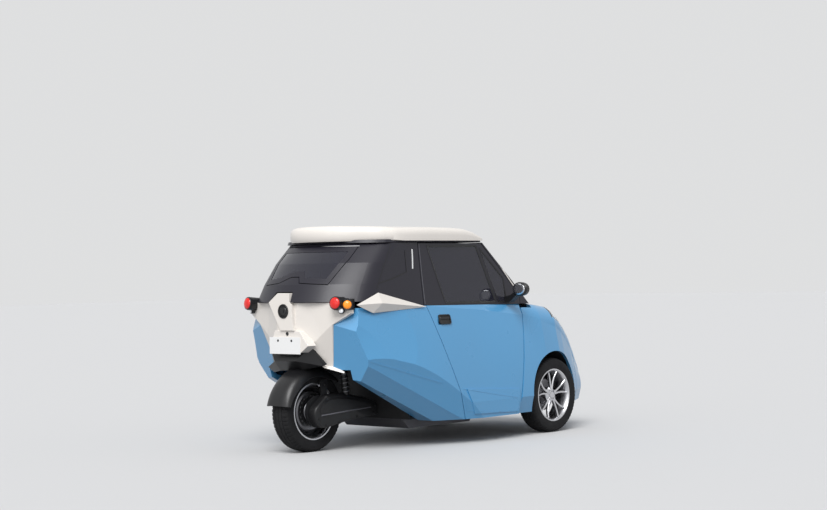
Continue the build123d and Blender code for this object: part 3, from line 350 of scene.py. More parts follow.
def block(lo, hi):
    """A box from its lowest to its highest corner."""
    return slab([(lo[1], lo[2]), (hi[1], lo[2]), (hi[1], hi[2]), (lo[1], hi[2])], 0, lo[0], hi[0])


def round_box(width, height, radius, steps=5):
    """Outline of a rectangle with round corners, about the origin."""
    points = []
    for cx, cy, start in ((1, 1, 0), (-1, 1, 90), (-1, -1, 180), (1, -1, 270)):
        for k in range(steps + 1):
            turn = radians(start + 90 * k / steps)
            points.append((cx * (width / 2 - radius) + radius * cos(turn),
                           cy * (height / 2 - radius) + radius * sin(turn)))
    return points


def curve(points, steps):
    """A smooth closed line through points."""
    points = [Vector(p) for p in points]
    count = len(points)
    line = []
    for i in range(count):
        before, a, b, after = (points[(i + k) % count] for k in (-1, 0, 1, 2))
        for k in range(steps):
            t = k / steps
            line.append(0.5 * (2 * a + (b - before) * t
                               + (2 * before - 5 * a + 4 * b - after) * t * t
                               + (3 * a - before - 3 * b + after) * t ** 3))
    return line


def soften(thing, width):
    """A small rounded edge that catches the light."""
    edge = thing.modifiers.new("edge", "BEVEL")
    edge.width = width * MM
    edge.segments = 2
    edge.limit_method = "ANGLE"
    edge.angle_limit = radians(20)
    edge.harden_normals = True


def piece(name, part, body, material, covers=(), degrees=30, bevel=0.0):
    """Adds an object made of a part and says what it rides on and stands for."""
    points, faces = part
    mesh = bpy.data.meshes.new(name)
    mesh.from_pydata([(x * MM + SHIFT, y * MM, z * MM) for x, y, z in points], [], faces)
    shape = bmesh.new()
    shape.from_mesh(mesh)
    bmesh.ops.remove_doubles(shape, verts=shape.verts, dist=WELD)
    bmesh.ops.dissolve_degenerate(shape, edges=shape.edges, dist=WELD)
    bmesh.ops.recalc_face_normals(shape, faces=shape.faces)
    shape.to_mesh(mesh)
    shape.free()
    smooth(mesh, degrees)
    mesh.materials.append(material)
    made = bpy.data.objects.new(name, mesh)
    scene.collection.objects.link(made)
    if bevel:
        soften(made, bevel)
    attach(made, body)
    if covers:
        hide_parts(*covers)
    return made


def ray_tree(*meshes):
    """A ray-cast tree over meshes, in the tables' millimetres."""
    points, faces = [], []
    for mesh in meshes:
        start = len(points)
        points += [((v.co.x - SHIFT) / MM, v.co.y / MM, v.co.z / MM) for v in mesh.vertices]
        faces += [[start + i for i in face.vertices] for face in mesh.polygons]
    return BVHTree.FromPolygons(points, faces)


# A strip's steps along its path, how far back its rays start, and how deep it sits in the surface
STRIP_STEP, STRIP_BACK, STRIP_SINK = 25.0, 400.0, 1.5


def strip(tree, path, width, lift, cast):
    """A raised closed strip that follows a path laid on a surface; cast is the way the rays go."""
    cast = Vector(cast)
    line = []
    for a, b in zip(path, path[1:]):
        steps = max(1, int((Vector(b) - Vector(a)).length / STRIP_STEP))
        line += [Vector(a).lerp(Vector(b), k / steps) for k in range(steps)]
    line.append(Vector(path[-1]))
    rows = []
    for i, p in enumerate(line):
        along = (line[min(i + 1, len(line) - 1)] - line[max(i - 1, 0)]).normalized()
        across = along.cross(cast).normalized() * width / 2
        hits = [tree.ray_cast(p + across * s - cast * STRIP_BACK, cast) for s in (-1, 1)]
        if hits[0][0] is None or hits[1][0] is None:
            continue
        (left, normal, _, _), (right, _, _, _) = hits
        if normal.dot(cast) > 0:
            normal = -normal
        sink, rise = -normal * STRIP_SINK, normal * lift
        rows.append([left + sink, left + rise, right + rise, right + sink])
    return loft(*rows)


OUTSIDE_Y = -700.0


def side_strip(tree, path, width, lift):
    """A strip laid on the car's right side along a path of (x, z)."""
    return strip(tree, [(x, OUTSIDE_Y, z) for x, z in path], width, lift, (0, 1, 0))


# Tail

# Corners of the facets, right-hand side
CENTRE_TOP, CENTRE_LOW = (-190.0, 0.0, 1042.0), (-190.0, 0.0, 732.0)
FLAT_TOP, FLAT_LOW = (-190.0, -121.0, 1042.0), (-190.0, -62.0, 732.0)
TOP = (-158.0, -190.0, 1042.0)
VALLEY = (-113.0, -262.0, 817.0)
PEAK = (-132.0, -165.0, 734.0)
POD_TOP = (-97.0, -356.0, 889.0)
POD_LOW = (-14.0, -281.0, 598.0)
NOTCH_LOW = (-66.0, -189.0, 617.0)
SHOULDER_TOP, SHOULDER_OUT = (-68.0, -486.0, 1042.0), (-57.0, -492.0, 966.0)
LIP_IN, LIP_OUT = (-64.0, -236.0, 592.0), (2.0, -366.0, 552.0)
TAIL_FACETS = (
    (CENTRE_TOP, CENTRE_LOW, FLAT_LOW, FLAT_TOP), (FLAT_TOP, FLAT_LOW, PEAK, VALLEY, TOP),
    (TOP, VALLEY, POD_TOP), (TOP, POD_TOP, SHOULDER_OUT, SHOULDER_TOP), (VALLEY, PEAK, NOTCH_LOW),
    (VALLEY, NOTCH_LOW, POD_LOW), (VALLEY, POD_LOW, POD_TOP),
)
TAIL_DEPTH = 34.0
# Raised boss round the charge flap, and the pad behind the plate: outline as (y, z), face, foot and flare
BOSS = ((55, 1110), (-59, 1109), (-58, 1046), (-82, 1034), (-86, 894), (-96, 852), (34, 852), (145, 1046))
BOSS_FACE, BOSS_FOOT, BOSS_FLARE = -214.0, -176.0, 1.06
BOSS_NECK_Z, BOSS_SLOPE = 1040.0, 14.0
PAD = ((102, 850), (-84, 852), (-145, 844), (-178, 802), (-222, 747), (-170, 712), (-150, 700), (118, 700),
       (120, 806))
PAD_FACE, PAD_FOOT, PAD_FLARE = -202.0, -130.0, 1.05
# Dark valance under the plate: its points and facets
VALANCE = (
    ((-150, 196, 716), (-150, -40, 716), (-128, -176, 734), (-176, -70, 640), (-180, 130, 636),
     (-70, -236, 604), (-96, -60, 574), (-104, 150, 566), (-92, 232, 626), (-70, -262, 614),
     (-96, 284, 588), (-80, 240, 552)),
    ((0, 4, 3, 1), (1, 3, 2), (3, 5, 2), (4, 7, 6, 3), (3, 6, 5), (0, 8, 4), (4, 8, 10), (4, 10, 11, 7),
     (2, 5, 9)),
)


def facet_part(facets):
    """A sheet from facets given by their corners."""
    points, faces = [], []
    for facet in facets:
        faces.append(tuple(range(len(points), len(points) + len(facet))))
        points += facet
    return points, faces


def tail_pieces():
    """White faceted tail with its boss, pad and lip, and the dark valance below."""
    half = facet_part(TAIL_FACETS)
    skin = thick(merge(half, flipped(half)), (TAIL_DEPTH, 0, 0))
    boss = loft([(BOSS_FACE, y, z) for y, z in BOSS],
                [(BOSS_FOOT, y * BOSS_FLARE, z if z > BOSS_NECK_Z else z - BOSS_SLOPE) for y, z in BOSS])
    pad = loft([(PAD_FACE, y, z) for y, z in PAD], [(PAD_FOOT, y * PAD_FLARE, z) for y, z in PAD])
    lip = thick(facet_part([(NOTCH_LOW, POD_LOW, LIP_OUT, LIP_IN)]), (12, 6, 10))
    piece("tail_skin", merge(skin, boss, pad, lip, flipped(lip)), "chassis", WHITE,
          ["tail_panel"], 8, 2.5)
    piece("valance_facets", thick(VALANCE, (12, 0, 4)), "chassis", SATIN, ["diffuser"],
          8, 1.5)


FLAP = Vector((-219.0, 0.0, 985.0))
FLAP_RIBS = 18


def charge_flap():
    """Black flap with a rim and a ring of short ribs."""
    forward = Vector((1, 0, 0))
    dish = [(20, 0), (20, 50), (1, 50), (-1, 48), (-1, 44), (4, 42), (4, 30), (1, 27), (1, 0)]
    parts = [lathe(dish, FLAP, forward, 56)]
    for k in range(FLAP_RIBS):
        turn = 2 * pi * k / FLAP_RIBS
        out = Vector((0, cos(turn), sin(turn)))
        foot = FLAP + forward * 2
        parts.append(rod(foot + out * 31, foot + out * 41, 2.4, 6))
    parts.append(block((-221, -5, 973), (-216, 5, 997)))
    piece("charge_flap", merge(*parts), "chassis", SATIN, ["charge_port"], 30, 0.6)


PLATE_X, SCREW_Y, SCREW_Z = -206.0, 66.0, 782.0
LOCK = (-202.0, -24.0, 830.0)


def plate_details():
    """Two plate screws and the round lock above the plate."""
    head = [(0, 0), (-2.6, 2.5), (-3.0, 5.5), (-1.8, 8.0), (0, 8.6), (3, 8.6), (3, 0)]
    parts = [lathe(head, (PLATE_X, y, SCREW_Z), (1, 0, 0), 20) for y in (-SCREW_Y, SCREW_Y)]
    barrel = [(6, 0), (6, 13), (-3, 13), (-5, 11), (-5, 8), (-2, 6), (-2, 0)]
    parts.append(lathe(barrel, LOCK, (1, 0, 0), 28))
    piece("plate_screws", merge(*parts), "chassis", SATIN)


# Lamps of the right side: centre, direction, radius and how far the lens stands out of its drum
LAMPS = (
    ("red", RED, (-139.0, -430.0, 1038.0), (-0.97, -0.20, 0.10), 40.0, 6.0),
    ("amber", AMBER, (-84.0, -488.0, 1026.0), (-0.75, -0.66, 0.05), 30.0, 6.0),
    ("pale", PALE, (-100.0, -444.0, 986.0), (-0.90, -0.42, -0.1), 17.0, 0.0),
)
# The lens's dome as (height, share of the radius)
DOME = ((-4, 0), (-4, 0.98), (0, 0.98), (5, 0.97), (10, 0.88), (14, 0.68), (16.5, 0.36), (17, 0))


def tail_lenses():
    """Domed lenses in dark rings, red, amber and a small pale one, on each side."""
    for side, way in SIDES:
        rings = []
        for name, material, centre, facing, r, stand in LAMPS:
            foot = Vector(centre) + Vector(facing) * stand
            dome = lathe([(h, r * share) for h, share in DOME], foot, facing, 40)
            piece(f"{name}_lens_{side}", on_side(dome, way), "chassis", material)
            rim = [(-30, r + 5), (2, r + 5), (5, r + 2.5), (4, r - 1), (-30, r - 1)]
            rings.append(lathe(rim, foot, facing, 40, True))
        piece(f"lens_rings_{side}", on_side(merge(*rings), way), "chassis", SATIN)


# Roof

# Plan of the right half from the rear's middle to the front's middle, and the crown's height along x
ROOF_PLAN = ((58, 0), (78, -150), (132, -264), (236, -372), (340, -466), (490, -514), (900, -520),
             (1280, -508), (1376, -478), (1404, -300), (1416, 0))
ROOF_CROWN = ((0, 1568), (90, 1572), (690, 1571), (1000, 1567), (1153, 1560), (1259, 1538), (1339, 1508),
              (1376, 1494), (1430, 1484))
ROOF_MIDDLE = Vector((740.0, 0.0))
ROOF_LOW_Z = 1461.0
# The edge rises towards the spoiler: how much, where it starts and over what length
REAR_RISE, RISE_START, RISE_LENGTH = 18.0, 480.0, 233.0
# The crown falls towards the sides, and a shallow scoop marks where the spoiler ends
SIDE_FALL, SIDE_FALL_Y = 10.0, 440.0
SCOOP_DEPTH, SCOOP_X, SCOOP_REACH, SCOOP_Y, SCOOP_WIDTH = 9.0, 470.0, 260.0, 380.0, 140.0
# Edge as (inset, share of the height), underside as (share of the plan, rise) and the crown's shares
ROOF_EDGE = ((0, 0.0), (0, 0.42), (2, 0.58), (7, 0.74), (16, 0.87), (30, 0.955), (50, 1.0))
ROOF_UNDER = ((0.02, 6), (0.5, 6), (0.94, 6), (0.985, 0))
ROOF_SHARES = (0.85, 0.72, 0.58, 0.42, 0.25, 0.02)
HEADER_PLAN = ((112, 0), (128, -150), (190, -330), (300, -452), (420, -486), (900, -486), (1310, -482),
               (1360, -440), (1392, -250), (1402, 0))
HEADER_SECTION = ((1.012, 1449), (1.0, 1470), (0.94, 1470), (0.95, 1449))


def level(table, x):
    """A value read from a table of (x, value) by straight lines."""
    for (x0, v0), (x1, v1) in zip(table, table[1:]):
        if x <= x1:
            return v0 + (v1 - v0) * max(0.0, x - x0) / (x1 - x0)
    return table[-1][1]


def both_halves(plan):
    """A closed outline from its right half."""
    return list(plan) + [(x, -y) for x, y in reversed(plan[1:-1])]


def roof_top(q):
    """Height of the roof's upper face over a point of its plan."""
    near = max(0.0, 1 - abs(q.x - SCOOP_X) / SCOOP_REACH)
    scoop = SCOOP_DEPTH * near * max(0.0, (abs(q.y) - SCOOP_Y) / SCOOP_WIDTH)
    return level(ROOF_CROWN, q.x) - SIDE_FALL * (q.y / SIDE_FALL_Y) ** 2 - scoop


def roof_pieces():
    """White crowned roof with a rounded spoiler edge, on a dark header ring."""
    outline = curve(both_halves(ROOF_PLAN), 8)
    rows = [[(*ROOF_MIDDLE.lerp(p, share), ROOF_LOW_Z + rise) for p in outline] for share, rise in ROOF_UNDER]
    for inset, share in ROOF_EDGE:
        row = []
        for p in outline:
            q = p + (ROOF_MIDDLE - p).normalized() * inset
            low = ROOF_LOW_Z + REAR_RISE * min(1.0, max(0.0, (RISE_START - p.x) / RISE_LENGTH))
            row.append((q.x, q.y, low + (roof_top(q) - low) * share))
        rows.append(row)
    for share in ROOF_SHARES:
        rows.append([(*q, roof_top(q)) for q in (ROOF_MIDDLE.lerp(p, share) for p in outline)])
    piece("roof_skin", loft(*rows), "chassis", WHITE, ["roof_panel"], 50)
    ring = curve(both_halves(HEADER_PLAN), 6)
    rows = [[(*ROOF_MIDDLE.lerp(p, share), z) for p in ring] for share, z in HEADER_SECTION]
    piece("roof_header", grid(rows, round_rows=True, round_points=True), "chassis", DARK)


# Lines on the side: each is a path of (x, z), its width and how far it stands out

PILLAR_LINES = (
    ("pillar_seam", PLASTIC, "black_plastic", ((367, 1436), (262, 1280), (172, 1128)), 4, 0.8),
    ("louvre_edge", SATIN, "black_plastic", ((496, 1392), (493, 1241), (345, 1197), (200, 1166)), 5, 2.0),
    # The slot's strip is plate white, a painted highlight on the louvre's lit face
    ("painted_highlight_slot", PLATE, "plate_white", ((573, 1400), (569, 1338), (560, 1262)), 11, 2.0),
)
WINDOW_SEAL = ((736, 1422), (1286, 1422), (1443, 1006), (876, 1014), (736, 1422)), 13, 1.6
QUARTERLIGHT_SEAL = ((1324, 1404), (1476, 1006), (1562, 1006), (1562, 1178), (1324, 1404)), 9, 1.6
# A grey line along the door frame's edge by the shut gap, a painted highlight
FRAME_HIGHLIGHT_LINE = ((652, 1436), (652, 1010)), 3, 1.0
# Lines pressed into the blue skin, after the node's name and the body that it rides on
BODY_LINES = (
    ("quarter_right", "chassis", ((64, 636), (675, 455)), 9, 1.6),
    ("quarter_right", "chassis", ((100, 588), (900, 186)), 7, 1.2),
    ("door_shell_right", "door", ((880, 404), (1180, 352), (1474, 304)), 9, 1.6),
    ("door_shell_right", "door", ((876, 398), (934, 240), (1464, 192)), 6, 0.7),
)
POST_LINE = ((1450, 1384), (1579, 1232), (1690, 1102)), 9, 1.6


def pillar_details():
    """Pillar seam, louvre edge and a pale strip painted as the highlight on the slot's lit face, on each
    side, laid on the dark skin.
    """
    tree = ray_tree(nodes["rear_pillars"].data)
    for side, way in SIDES:
        for name, material, slot, *line in PILLAR_LINES:
            piece(f"{name}_{side}", on_side(side_strip(tree, *line), way), "chassis", material, (), 40)


def window_trim():
    """Black seals round the door's windows, and a grey line beside the shut gap painted as the highlight on
    the frame's edge.
    """
    tree = ray_tree(nodes["door_frame_right"].data, nodes["door_glass_right"].data)
    seals = merge(side_strip(tree, *WINDOW_SEAL), side_strip(tree, *QUARTERLIGHT_SEAL))
    edge = side_strip(tree, *FRAME_HIGHLIGHT_LINE)
    for side, way in SIDES:
        door = f"door_{side}"
        piece(f"window_seals_{side}", on_side(seals, way), door, PLASTIC, (), 40)
        piece(f"frame_edge_highlight_{side}", on_side(edge, way), door, PAINTED_HIGHLIGHT_GREY, (), 40)


def body_lines():
    """The quarters' and doors' pressed lines, and the light line along the windscreen's posts."""
    for index, (node, body, *line) in enumerate(BODY_LINES):
        part = side_strip(ray_tree(nodes[node].data), *line)
        for side, way in SIDES:
            rides = body if body == "chassis" else f"{body}_{side}"
            piece(f"pressed_line_{index}_{side}", on_side(part, way), rides, BLUE, (), 25)
    part = side_strip(ray_tree(nodes["windscreen_frame"].data), *POST_LINE)
    for side, way in SIDES:
        piece(f"post_line_{side}", on_side(part, way), "chassis", WHITE, (), 40)


# Door handle: middle, its axes along the car, up the door and outwards, and its parts' sizes

HANDLE = Vector((800.0, -596.5, 898.0))
HANDLE_U, HANDLE_V = Vector((1.0, -0.01, 0.0)), Vector((0.0, 0.265, 0.964))
HANDLE_OUT = HANDLE_U.cross(HANDLE_V).normalized()
GRIP_UP = 9.0
# Rings as (width, height, corner radius, height over the skin)
HANDLE_FRAME = ((126, 72, 17, -8), (126, 72, 17, 4), (122, 68, 15, 8), (106, 52, 9, 8), (102, 48, 8, 2),
                (96, 42, 8, 1.2))
HANDLE_GRIP = ((100, 20, 7, -4), (100, 20, 7, 5), (95, 15, 5, 8))


def handle_ring(size, up):
    """One ring of the handle, raised by up along the door."""
    *box, rise = size
    return [HANDLE + HANDLE_U * u + HANDLE_V * (v + up) + HANDLE_OUT * rise for u, v in round_box(*box)]


def handle_pieces():
    """Black pull handle: a frame, its recess and a grip bar across the upper half."""
    part = merge(loft(*[handle_ring(size, 0.0) for size in HANDLE_FRAME]),
                 loft(*[handle_ring(size, GRIP_UP) for size in HANDLE_GRIP]))
    for side, way in SIDES:
        piece(f"pull_handle_{side}", on_side(part, way), f"door_{side}", SATIN,
              [f"door_handle_{side}"], 35)


# Wheels

# Right half of the tyre's section from the tread's middle to the bead and back inside, as (across, radius)
TREAD = ((0.0, 275.5), (1.6, 275.5), (2.2, 282.0), (16.0, 281.8), (31.0, 281.4), (32.0, 276.0), (35.0, 276.0),
         (36.0, 281.0), (50.0, 279.6), (62.0, 276.6), (70.0, 271.5), (75.0, 262.0), (76.6, 255.0),
         (76.2, 252.0), (77.5, 246.0), (77.4, 236.0), (75.0, 222.0), (70.5, 206.0), (69.5, 202.0),
         (67.0, 193.0), (60.0, 191.6), (62.0, 205.0), (66.0, 235.0), (60.0, 262.0), (0.0, 270.0))
# Tread pitches round the tyre, the rows of one pitch as shares of it, and the blocks' cuts
PITCHES = 60
PITCH_ROWS = (0.0, 0.60, 0.68, 0.92)
TREAD_R = 260.0
SHOULDER_CUT, SHOULDER_FROM, SHOULDER_TO = 4.5, 45.0, 72.0
CENTRE_CUT, CENTRE_FROM, CENTRE_TO = 2.5, 2.0, 31.0


def tread_cut(w, r, row):
    """How deep the tread is cut at a point of the section, in a row round the tyre."""
    in_groove = row % 4 >= 2
    if not in_groove or r <= TREAD_R:
        return 0.0
    if SHOULDER_FROM < abs(w) < SHOULDER_TO:
        return SHOULDER_CUT
    every_other = row % 8 > 3
    return CENTRE_CUT if every_other and CENTRE_FROM < abs(w) < CENTRE_TO else 0.0


def tyre_part(x, y):
    """A tyre with two main grooves, a middle groove, ribbed shoulders and stepped sidewalls."""
    section = [(-w, r) for w, r in TREAD[1:-1]][::-1] + list(TREAD)
    rows = []
    for k in range(PITCHES * 4):
        turn = 2 * pi * (k // 4 + PITCH_ROWS[k % 4]) / PITCHES
        row = []
        for w, r in section:
            reach = r - tread_cut(w, r, k)
            row.append((x + reach * cos(turn), y + w, TYRE_R + reach * sin(turn)))
        rows.append(row)
    return grid(rows, round_rows=True, round_points=True)


# Profiles of (distance outwards, radius)
BARREL = ((-68, 199), (-71, 199), (-71, 191), (-60, 184), (-30, 176), (20, 174), (52, 178), (66, 186),
          (71, 190), (71, 199), (68, 199), (64, 192.5), (-64, 192.5))
FRONT_HUB = ((20, 0), (20, 20.5), (-26, 20.5), (-26, 24), (-26, 60), (10, 62), (34, 58), (46, 46), (50, 36),
             (50, 30), (44, 28), (44, 0))
HUB_CAP = ((44, 0), (44, 27), (52, 26), (55, 22), (56, 0))
WHEEL_NUT = ((42, 0), (42, 8), (56, 8), (58, 6), (58, 0))
BRAKE_DISC = ((-38, 58), (-38, 119), (-36.5, 120), (-31.5, 120), (-30, 119), (-30, 74), (-18, 72), (-18, 58))
REAR_DISH = ((-40, 24), (-40, 120), (-20, 150), (10, 176), (22, 177), (18, 168), (-2, 146), (28, 138),
             (36, 128), (36, 70), (44, 62), (44, 24))
DISH_BOLT = ((32, 0), (32, 7), (40, 7), (41, 5), (41, 0))
# Spokes: pairs, half angle of a pair at the hub and its growth, and reach, width and rise from hub to rim
SPOKE_PAIRS, PAIR_LEAN, PAIR_GROWTH = 5, 8.0, 8.5
SPOKE_REACH, SPOKE_WIDTH, SPOKE_RISE, SPOKE_DISH = (34, 181), (17, 12), (52, 66), 5
WHEEL_NUTS, NUT_CIRCLE = 4, 38.0
DISH_BOLTS, BOLT_CIRCLE = 20, 104.0


def round_wheel(turn):
    """Direction from the wheel's middle at an angle round it."""
    return Vector((cos(turn), 0, sin(turn)))


def spoke(centre, out, turn0, turn1):
    """One spoke: a tapered bar that leans and dishes from the hub to the rim."""
    rows = []
    for k in range(7):
        t = k / 6
        r, width, rise = (a + (b - a) * t for a, b in (SPOKE_REACH, SPOKE_WIDTH, SPOKE_RISE))
        turn = turn0 + (turn1 - turn0) * t * t
        along, side = round_wheel(turn), round_wheel(turn + pi / 2)
        top = rise - SPOKE_DISH * sin(pi * t)
        section = ((-1, top - 20), (-1, top - 4), (-0.55, top), (0.55, top), (1, top - 4), (1, top - 20))
        rows.append([centre + along * r + side * s * width / 2 + out * h for s, h in section])
    return loft(*rows)


def front_rim(side, way):
    """Alloy rim with ten spokes in pairs, hub cap and nuts, and the brake disc behind it."""
    centre, out = Vector((WHEELBASE, way * TRACK_HALF, TYRE_R)), Vector((0, way, 0))
    parts = [lathe(BARREL, centre, out, 72, True)]
    for i in range(SPOKE_PAIRS):
        for lean in (-1, 1):
            start = 360 / SPOKE_PAIRS * i + 90 + lean * PAIR_LEAN
            parts.append(spoke(centre, out, radians(start), radians(start + lean * PAIR_GROWTH)))
    parts.append(lathe(FRONT_HUB, centre, out, 48))
    parts.append(lathe(HUB_CAP, centre, out, 36))
    for k in range(WHEEL_NUTS):
        place = centre + round_wheel(radians(45 + 360 / WHEEL_NUTS * k)) * NUT_CIRCLE
        parts.append(lathe(WHEEL_NUT, place, out, 6))
    wheel = f"wheel_{side}"
    piece(f"alloy_rim_{side}", merge(*parts), wheel, ALLOY, [f"rim_{side}"], 28)
    piece(f"brake_disc_{side}", lathe(BRAKE_DISC, centre, out, 64, True), wheel, GREY_ALLOY)


def rear_rim():
    """Rear rim: bright lip, and a dished disc with a ring of bolts."""
    centre, out = Vector((0, 0, TYRE_R)), Vector((0, -1, 0))
    piece("rear_lip", lathe(BARREL, centre, out, 72, True), "wheel_rear", ALLOY, ["rim_rear"], 28)
    parts = [lathe(REAR_DISH, centre, out, 72, True)]
    for k in range(DISH_BOLTS):
        place = centre + round_wheel(2 * pi * k / DISH_BOLTS) * BOLT_CIRCLE
        parts.append(lathe(DISH_BOLT, place, out, 6))
    piece("rear_dish", merge(*parts), "wheel_rear", GREY_ALLOY, (), 28)


def wheel_pieces():
    """Tyres and rims of the three wheels."""
    for side, way in SIDES:
        piece(f"tread_tyre_{side}", tyre_part(WHEELBASE, way * TRACK_HALF), f"wheel_{side}", RUBBER,
              [f"tyre_{side}"])
        front_rim(side, way)
    piece("tread_tyre_rear", tyre_part(0, 0), "wheel_rear", RUBBER, ["tyre_rear"])
    rear_rim()


# Rear running gear

RIGHT = (0, -1, 0)
# Mudguard: half width, crown's radius and wall, where it ends, and its edge's drop
GUARD_HALF, GUARD_CROWN, GUARD_WALL = 112.0, 316.0, 5.0
GUARD_LOW_Z, GUARD_END_X = 338.0, 228.0
GUARD_END_DROP, GUARD_MORE_DROP = 44.0, 26.0
GUARD_STEPS, GUARD_ACROSS = 48, 24
# The guard's stay as an outline of (x, z) between two sides
STAY, STAY_SIDES = ((30, 353), (80, 353), (90, 500), (26, 500)), (-116, -104)
STAY_BOLT = ((0, 0), (0, 9), (5, 9), (6.5, 6), (6.5, 0))
STAY_BOLTS = ((45, 380), (68, 380), (58, 470))


def mudguard_piece():
    """Rounded guard over the rear wheel with a stay to the casing."""
    start = pi - atan2(GUARD_LOW_Z - TYRE_R, GUARD_CROWN)
    end = atan2((GUARD_CROWN ** 2 - GUARD_END_X ** 2) ** 0.5, GUARD_END_X)
    rows = []
    for k in range(GUARD_STEPS + 1):
        t = k / GUARD_STEPS
        turn = start + (end - start) * t
        drop = GUARD_END_DROP + GUARD_MORE_DROP * min(1.0, 4 * t, 6 * (1 - t))
        section = []
        for wall in (0.0, GUARD_WALL):
            half = GUARD_HALF - wall
            ring = []
            for j in range(GUARD_ACROSS + 1):
                y = half * sin(pi * (j / GUARD_ACROSS - 0.5))
                fall = drop * (1 - (1 - min(1.0, abs(y) / half) ** 2.8) ** (1 / 2.2))
                ring.append((y, GUARD_CROWN - wall - fall))
            section += ring[::-1] if wall else ring
        rows.append([(r * cos(turn), y, TYRE_R + r * sin(turn)) for y, r in section])
    stay = slab(STAY, 1, *STAY_SIDES)
    bolts = [lathe(STAY_BOLT, (x, STAY_SIDES[0], z), RIGHT, 6) for x, z in STAY_BOLTS]
    piece("rear_guard", merge(loft(*rows), stay, *bolts), "chassis", SATIN, ["mudguard"], 35)


# Drive casing and its raised cover as outlines of (x, z), with the points that their edges draw in to
CASING = ((-84, 262), (-80, 300), (-57, 328), (20, 385), (40, 394), (192, 400), (330, 374), (470, 342),
          (550, 306), (556, 262), (546, 224), (409, 218), (145, 186), (86, 176), (-13, 170), (-62, 204))
CASING_MIDDLE = Vector((200.0, 275.0))
COVER = ((-40, 300), (6, 352), (60, 362), (160, 364), (280, 350), (420, 320), (470, 296), (300, 286),
         (120, 278), (-20, 268))
COVER_MIDDLE = Vector((200.0, 318.0))
COVER_SHARE = 0.965
# Rings of the casing as (y, inset), the rib's line as (x, z) and its section as (y, z)
CASING_RINGS = ((-103, 0), (-150, 0), (-160, 4), (-166, 11), (-168, 20))
RIB = ((-28, 258), (60, 262), (210, 270), (360, 277), (470, 282))
RIB_SECTION = ((-166, -6), (-172, -3), (-175, 0), (-172, 3), (-166, 6))
CASING_BOLT = ((0, 0), (0, 8), (5, 8), (6.5, 5.5), (6.5, 0))
CASING_BOLTS = ((-50, 232), (20, 186), (150, 196), (330, 224), (500, 240), (515, 292))
HUB_COVER = ((82, 24), (82, 92), (86, 108), (96, 112), (104, 112), (104, 24))
AXLE_NUT = ((0, 0), (0, 22), (8, 22), (10, 18), (10, 12), (22, 12), (23, 10), (23, 0))
PLAIN_ARM = ((-40, 245), (500, 235), (500, 300), (-40, 318))


def swing_arm_piece():
    """Black drive casing with a raised cover and a rib painted mid grey as its highlight, the plain arm on
    the left and the cross tube.
    """
    outline, cover_line = curve(CASING, 4), curve(COVER, 4)
    rows = []
    for y, inset in CASING_RINGS:
        drawn = [p - (p - CASING_MIDDLE).normalized() * inset for p in outline]
        rows.append([(q.x, y, q.y) for q in drawn])
    shell = loft(*rows)
    drawn = [COVER_MIDDLE + (p - COVER_MIDDLE) * COVER_SHARE for p in cover_line]
    cover = loft([(p.x, -164, p.y) for p in cover_line], [(p.x, -171, p.y) for p in cover_line],
                 [(q.x, -173, q.y) for q in drawn])
    rib = loft(*[[(x, y, z + dz) for y, dz in RIB_SECTION] for x, z in RIB])
    plain = slab(PLAIN_ARM, 1, 103, 132)
    cross = rod((492, -120, 262), (492, 120, 262), 28, 28)
    axle = rod((0, -166, TYRE_R), (0, 140, TYRE_R), 20, 24)
    hub = lathe(HUB_COVER, (0, 0, TYRE_R), RIGHT, 56, True)
    bolts = [lathe(CASING_BOLT, (x, -168, z), RIGHT, 6) for x, z in CASING_BOLTS]
    nut = lathe(AXLE_NUT, (0, 132, TYRE_R), (0, 1, 0), 24)
    piece("drive_casing", merge(shell, cover, axle, hub, *bolts), "chassis", STEEL,
          ["swing_arm"], 35)
    # The rib is coloured mid grey as a painted highlight along its ridge
    piece("casing_rib_painted_highlight", rib, "chassis", PAINTED_HIGHLIGHT_GREY, (), 35)
    piece("plain_arm", merge(plain, cross, nut), "chassis", STEEL, (), 30, 3.0)


SPRING_LOW, SPRING_HIGH = Vector((240, -146, 395)), Vector((214, -146, 612))
SPRING_TURNS, SPRING_R, WIRE_R = 7, 27.0, 4.5


def damper_spring():
    """Coil spring round the rear damper."""
    axis, side, other = axes_about(SPRING_HIGH - SPRING_LOW)
    steps = SPRING_TURNS * 20
    around = [2 * pi * j / 8 for j in range(8)]
    rows = []
    for k in range(steps + 1):
        turn = 2 * pi * k / 20
        out = side * cos(turn) + other * sin(turn)
        at = SPRING_LOW.lerp(SPRING_HIGH, k / steps) + out * SPRING_R
        rows.append([at + out * WIRE_R * cos(a) + axis * WIRE_R * sin(a) for a in around])
    piece("damper_spring", loft(*rows), "chassis", GREY_ALLOY)


# Cabin

# Cloth simulation: voxel sizes in metres, frames and the most a point may move
CUSHION_VOXEL, QUICK_VOXEL = 0.007, 0.02
CUSHION_FRAMES = 16
CUSHION_CAP = 0.022
# Side outlines of the pads as (x, z), their half widths and how much their ends are tucked in
CUSHION = ((724, 322), (950, 330), (1150, 344), (1166, 372), (1140, 406), (950, 402), (752, 382))
BACKREST = ((706, 420), (768, 428), (738, 700), (700, 960), (674, 1090), (630, 1086), (640, 900), (668, 640))
CUSHION_HALF, BACKREST_HALF, END_TUCK, END_SHRINK = 200.0, 194.0, 7.2, 0.16
PAD_STEPS = 10
WELT_PLACES = (-110, -36, 36, 110)
WELT_WIDTH, WELT_RISE = 5.0, 1.6
PLINTH_LOW, PLINTH_HIGH, PLINTH_HALF = (760, 212), (1120, 322), 145
SHELL = ((700, 330), (722, 322), (664, 640), (640, 900), (624, 1060), (606, 1056), (620, 860))
SHELL_HALF = 150


def seat_middle(node):
    """The seat's middle across the car, from its CAD solid."""
    low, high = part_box(node)
    return (low[1] + high[1]) / 2 / MM


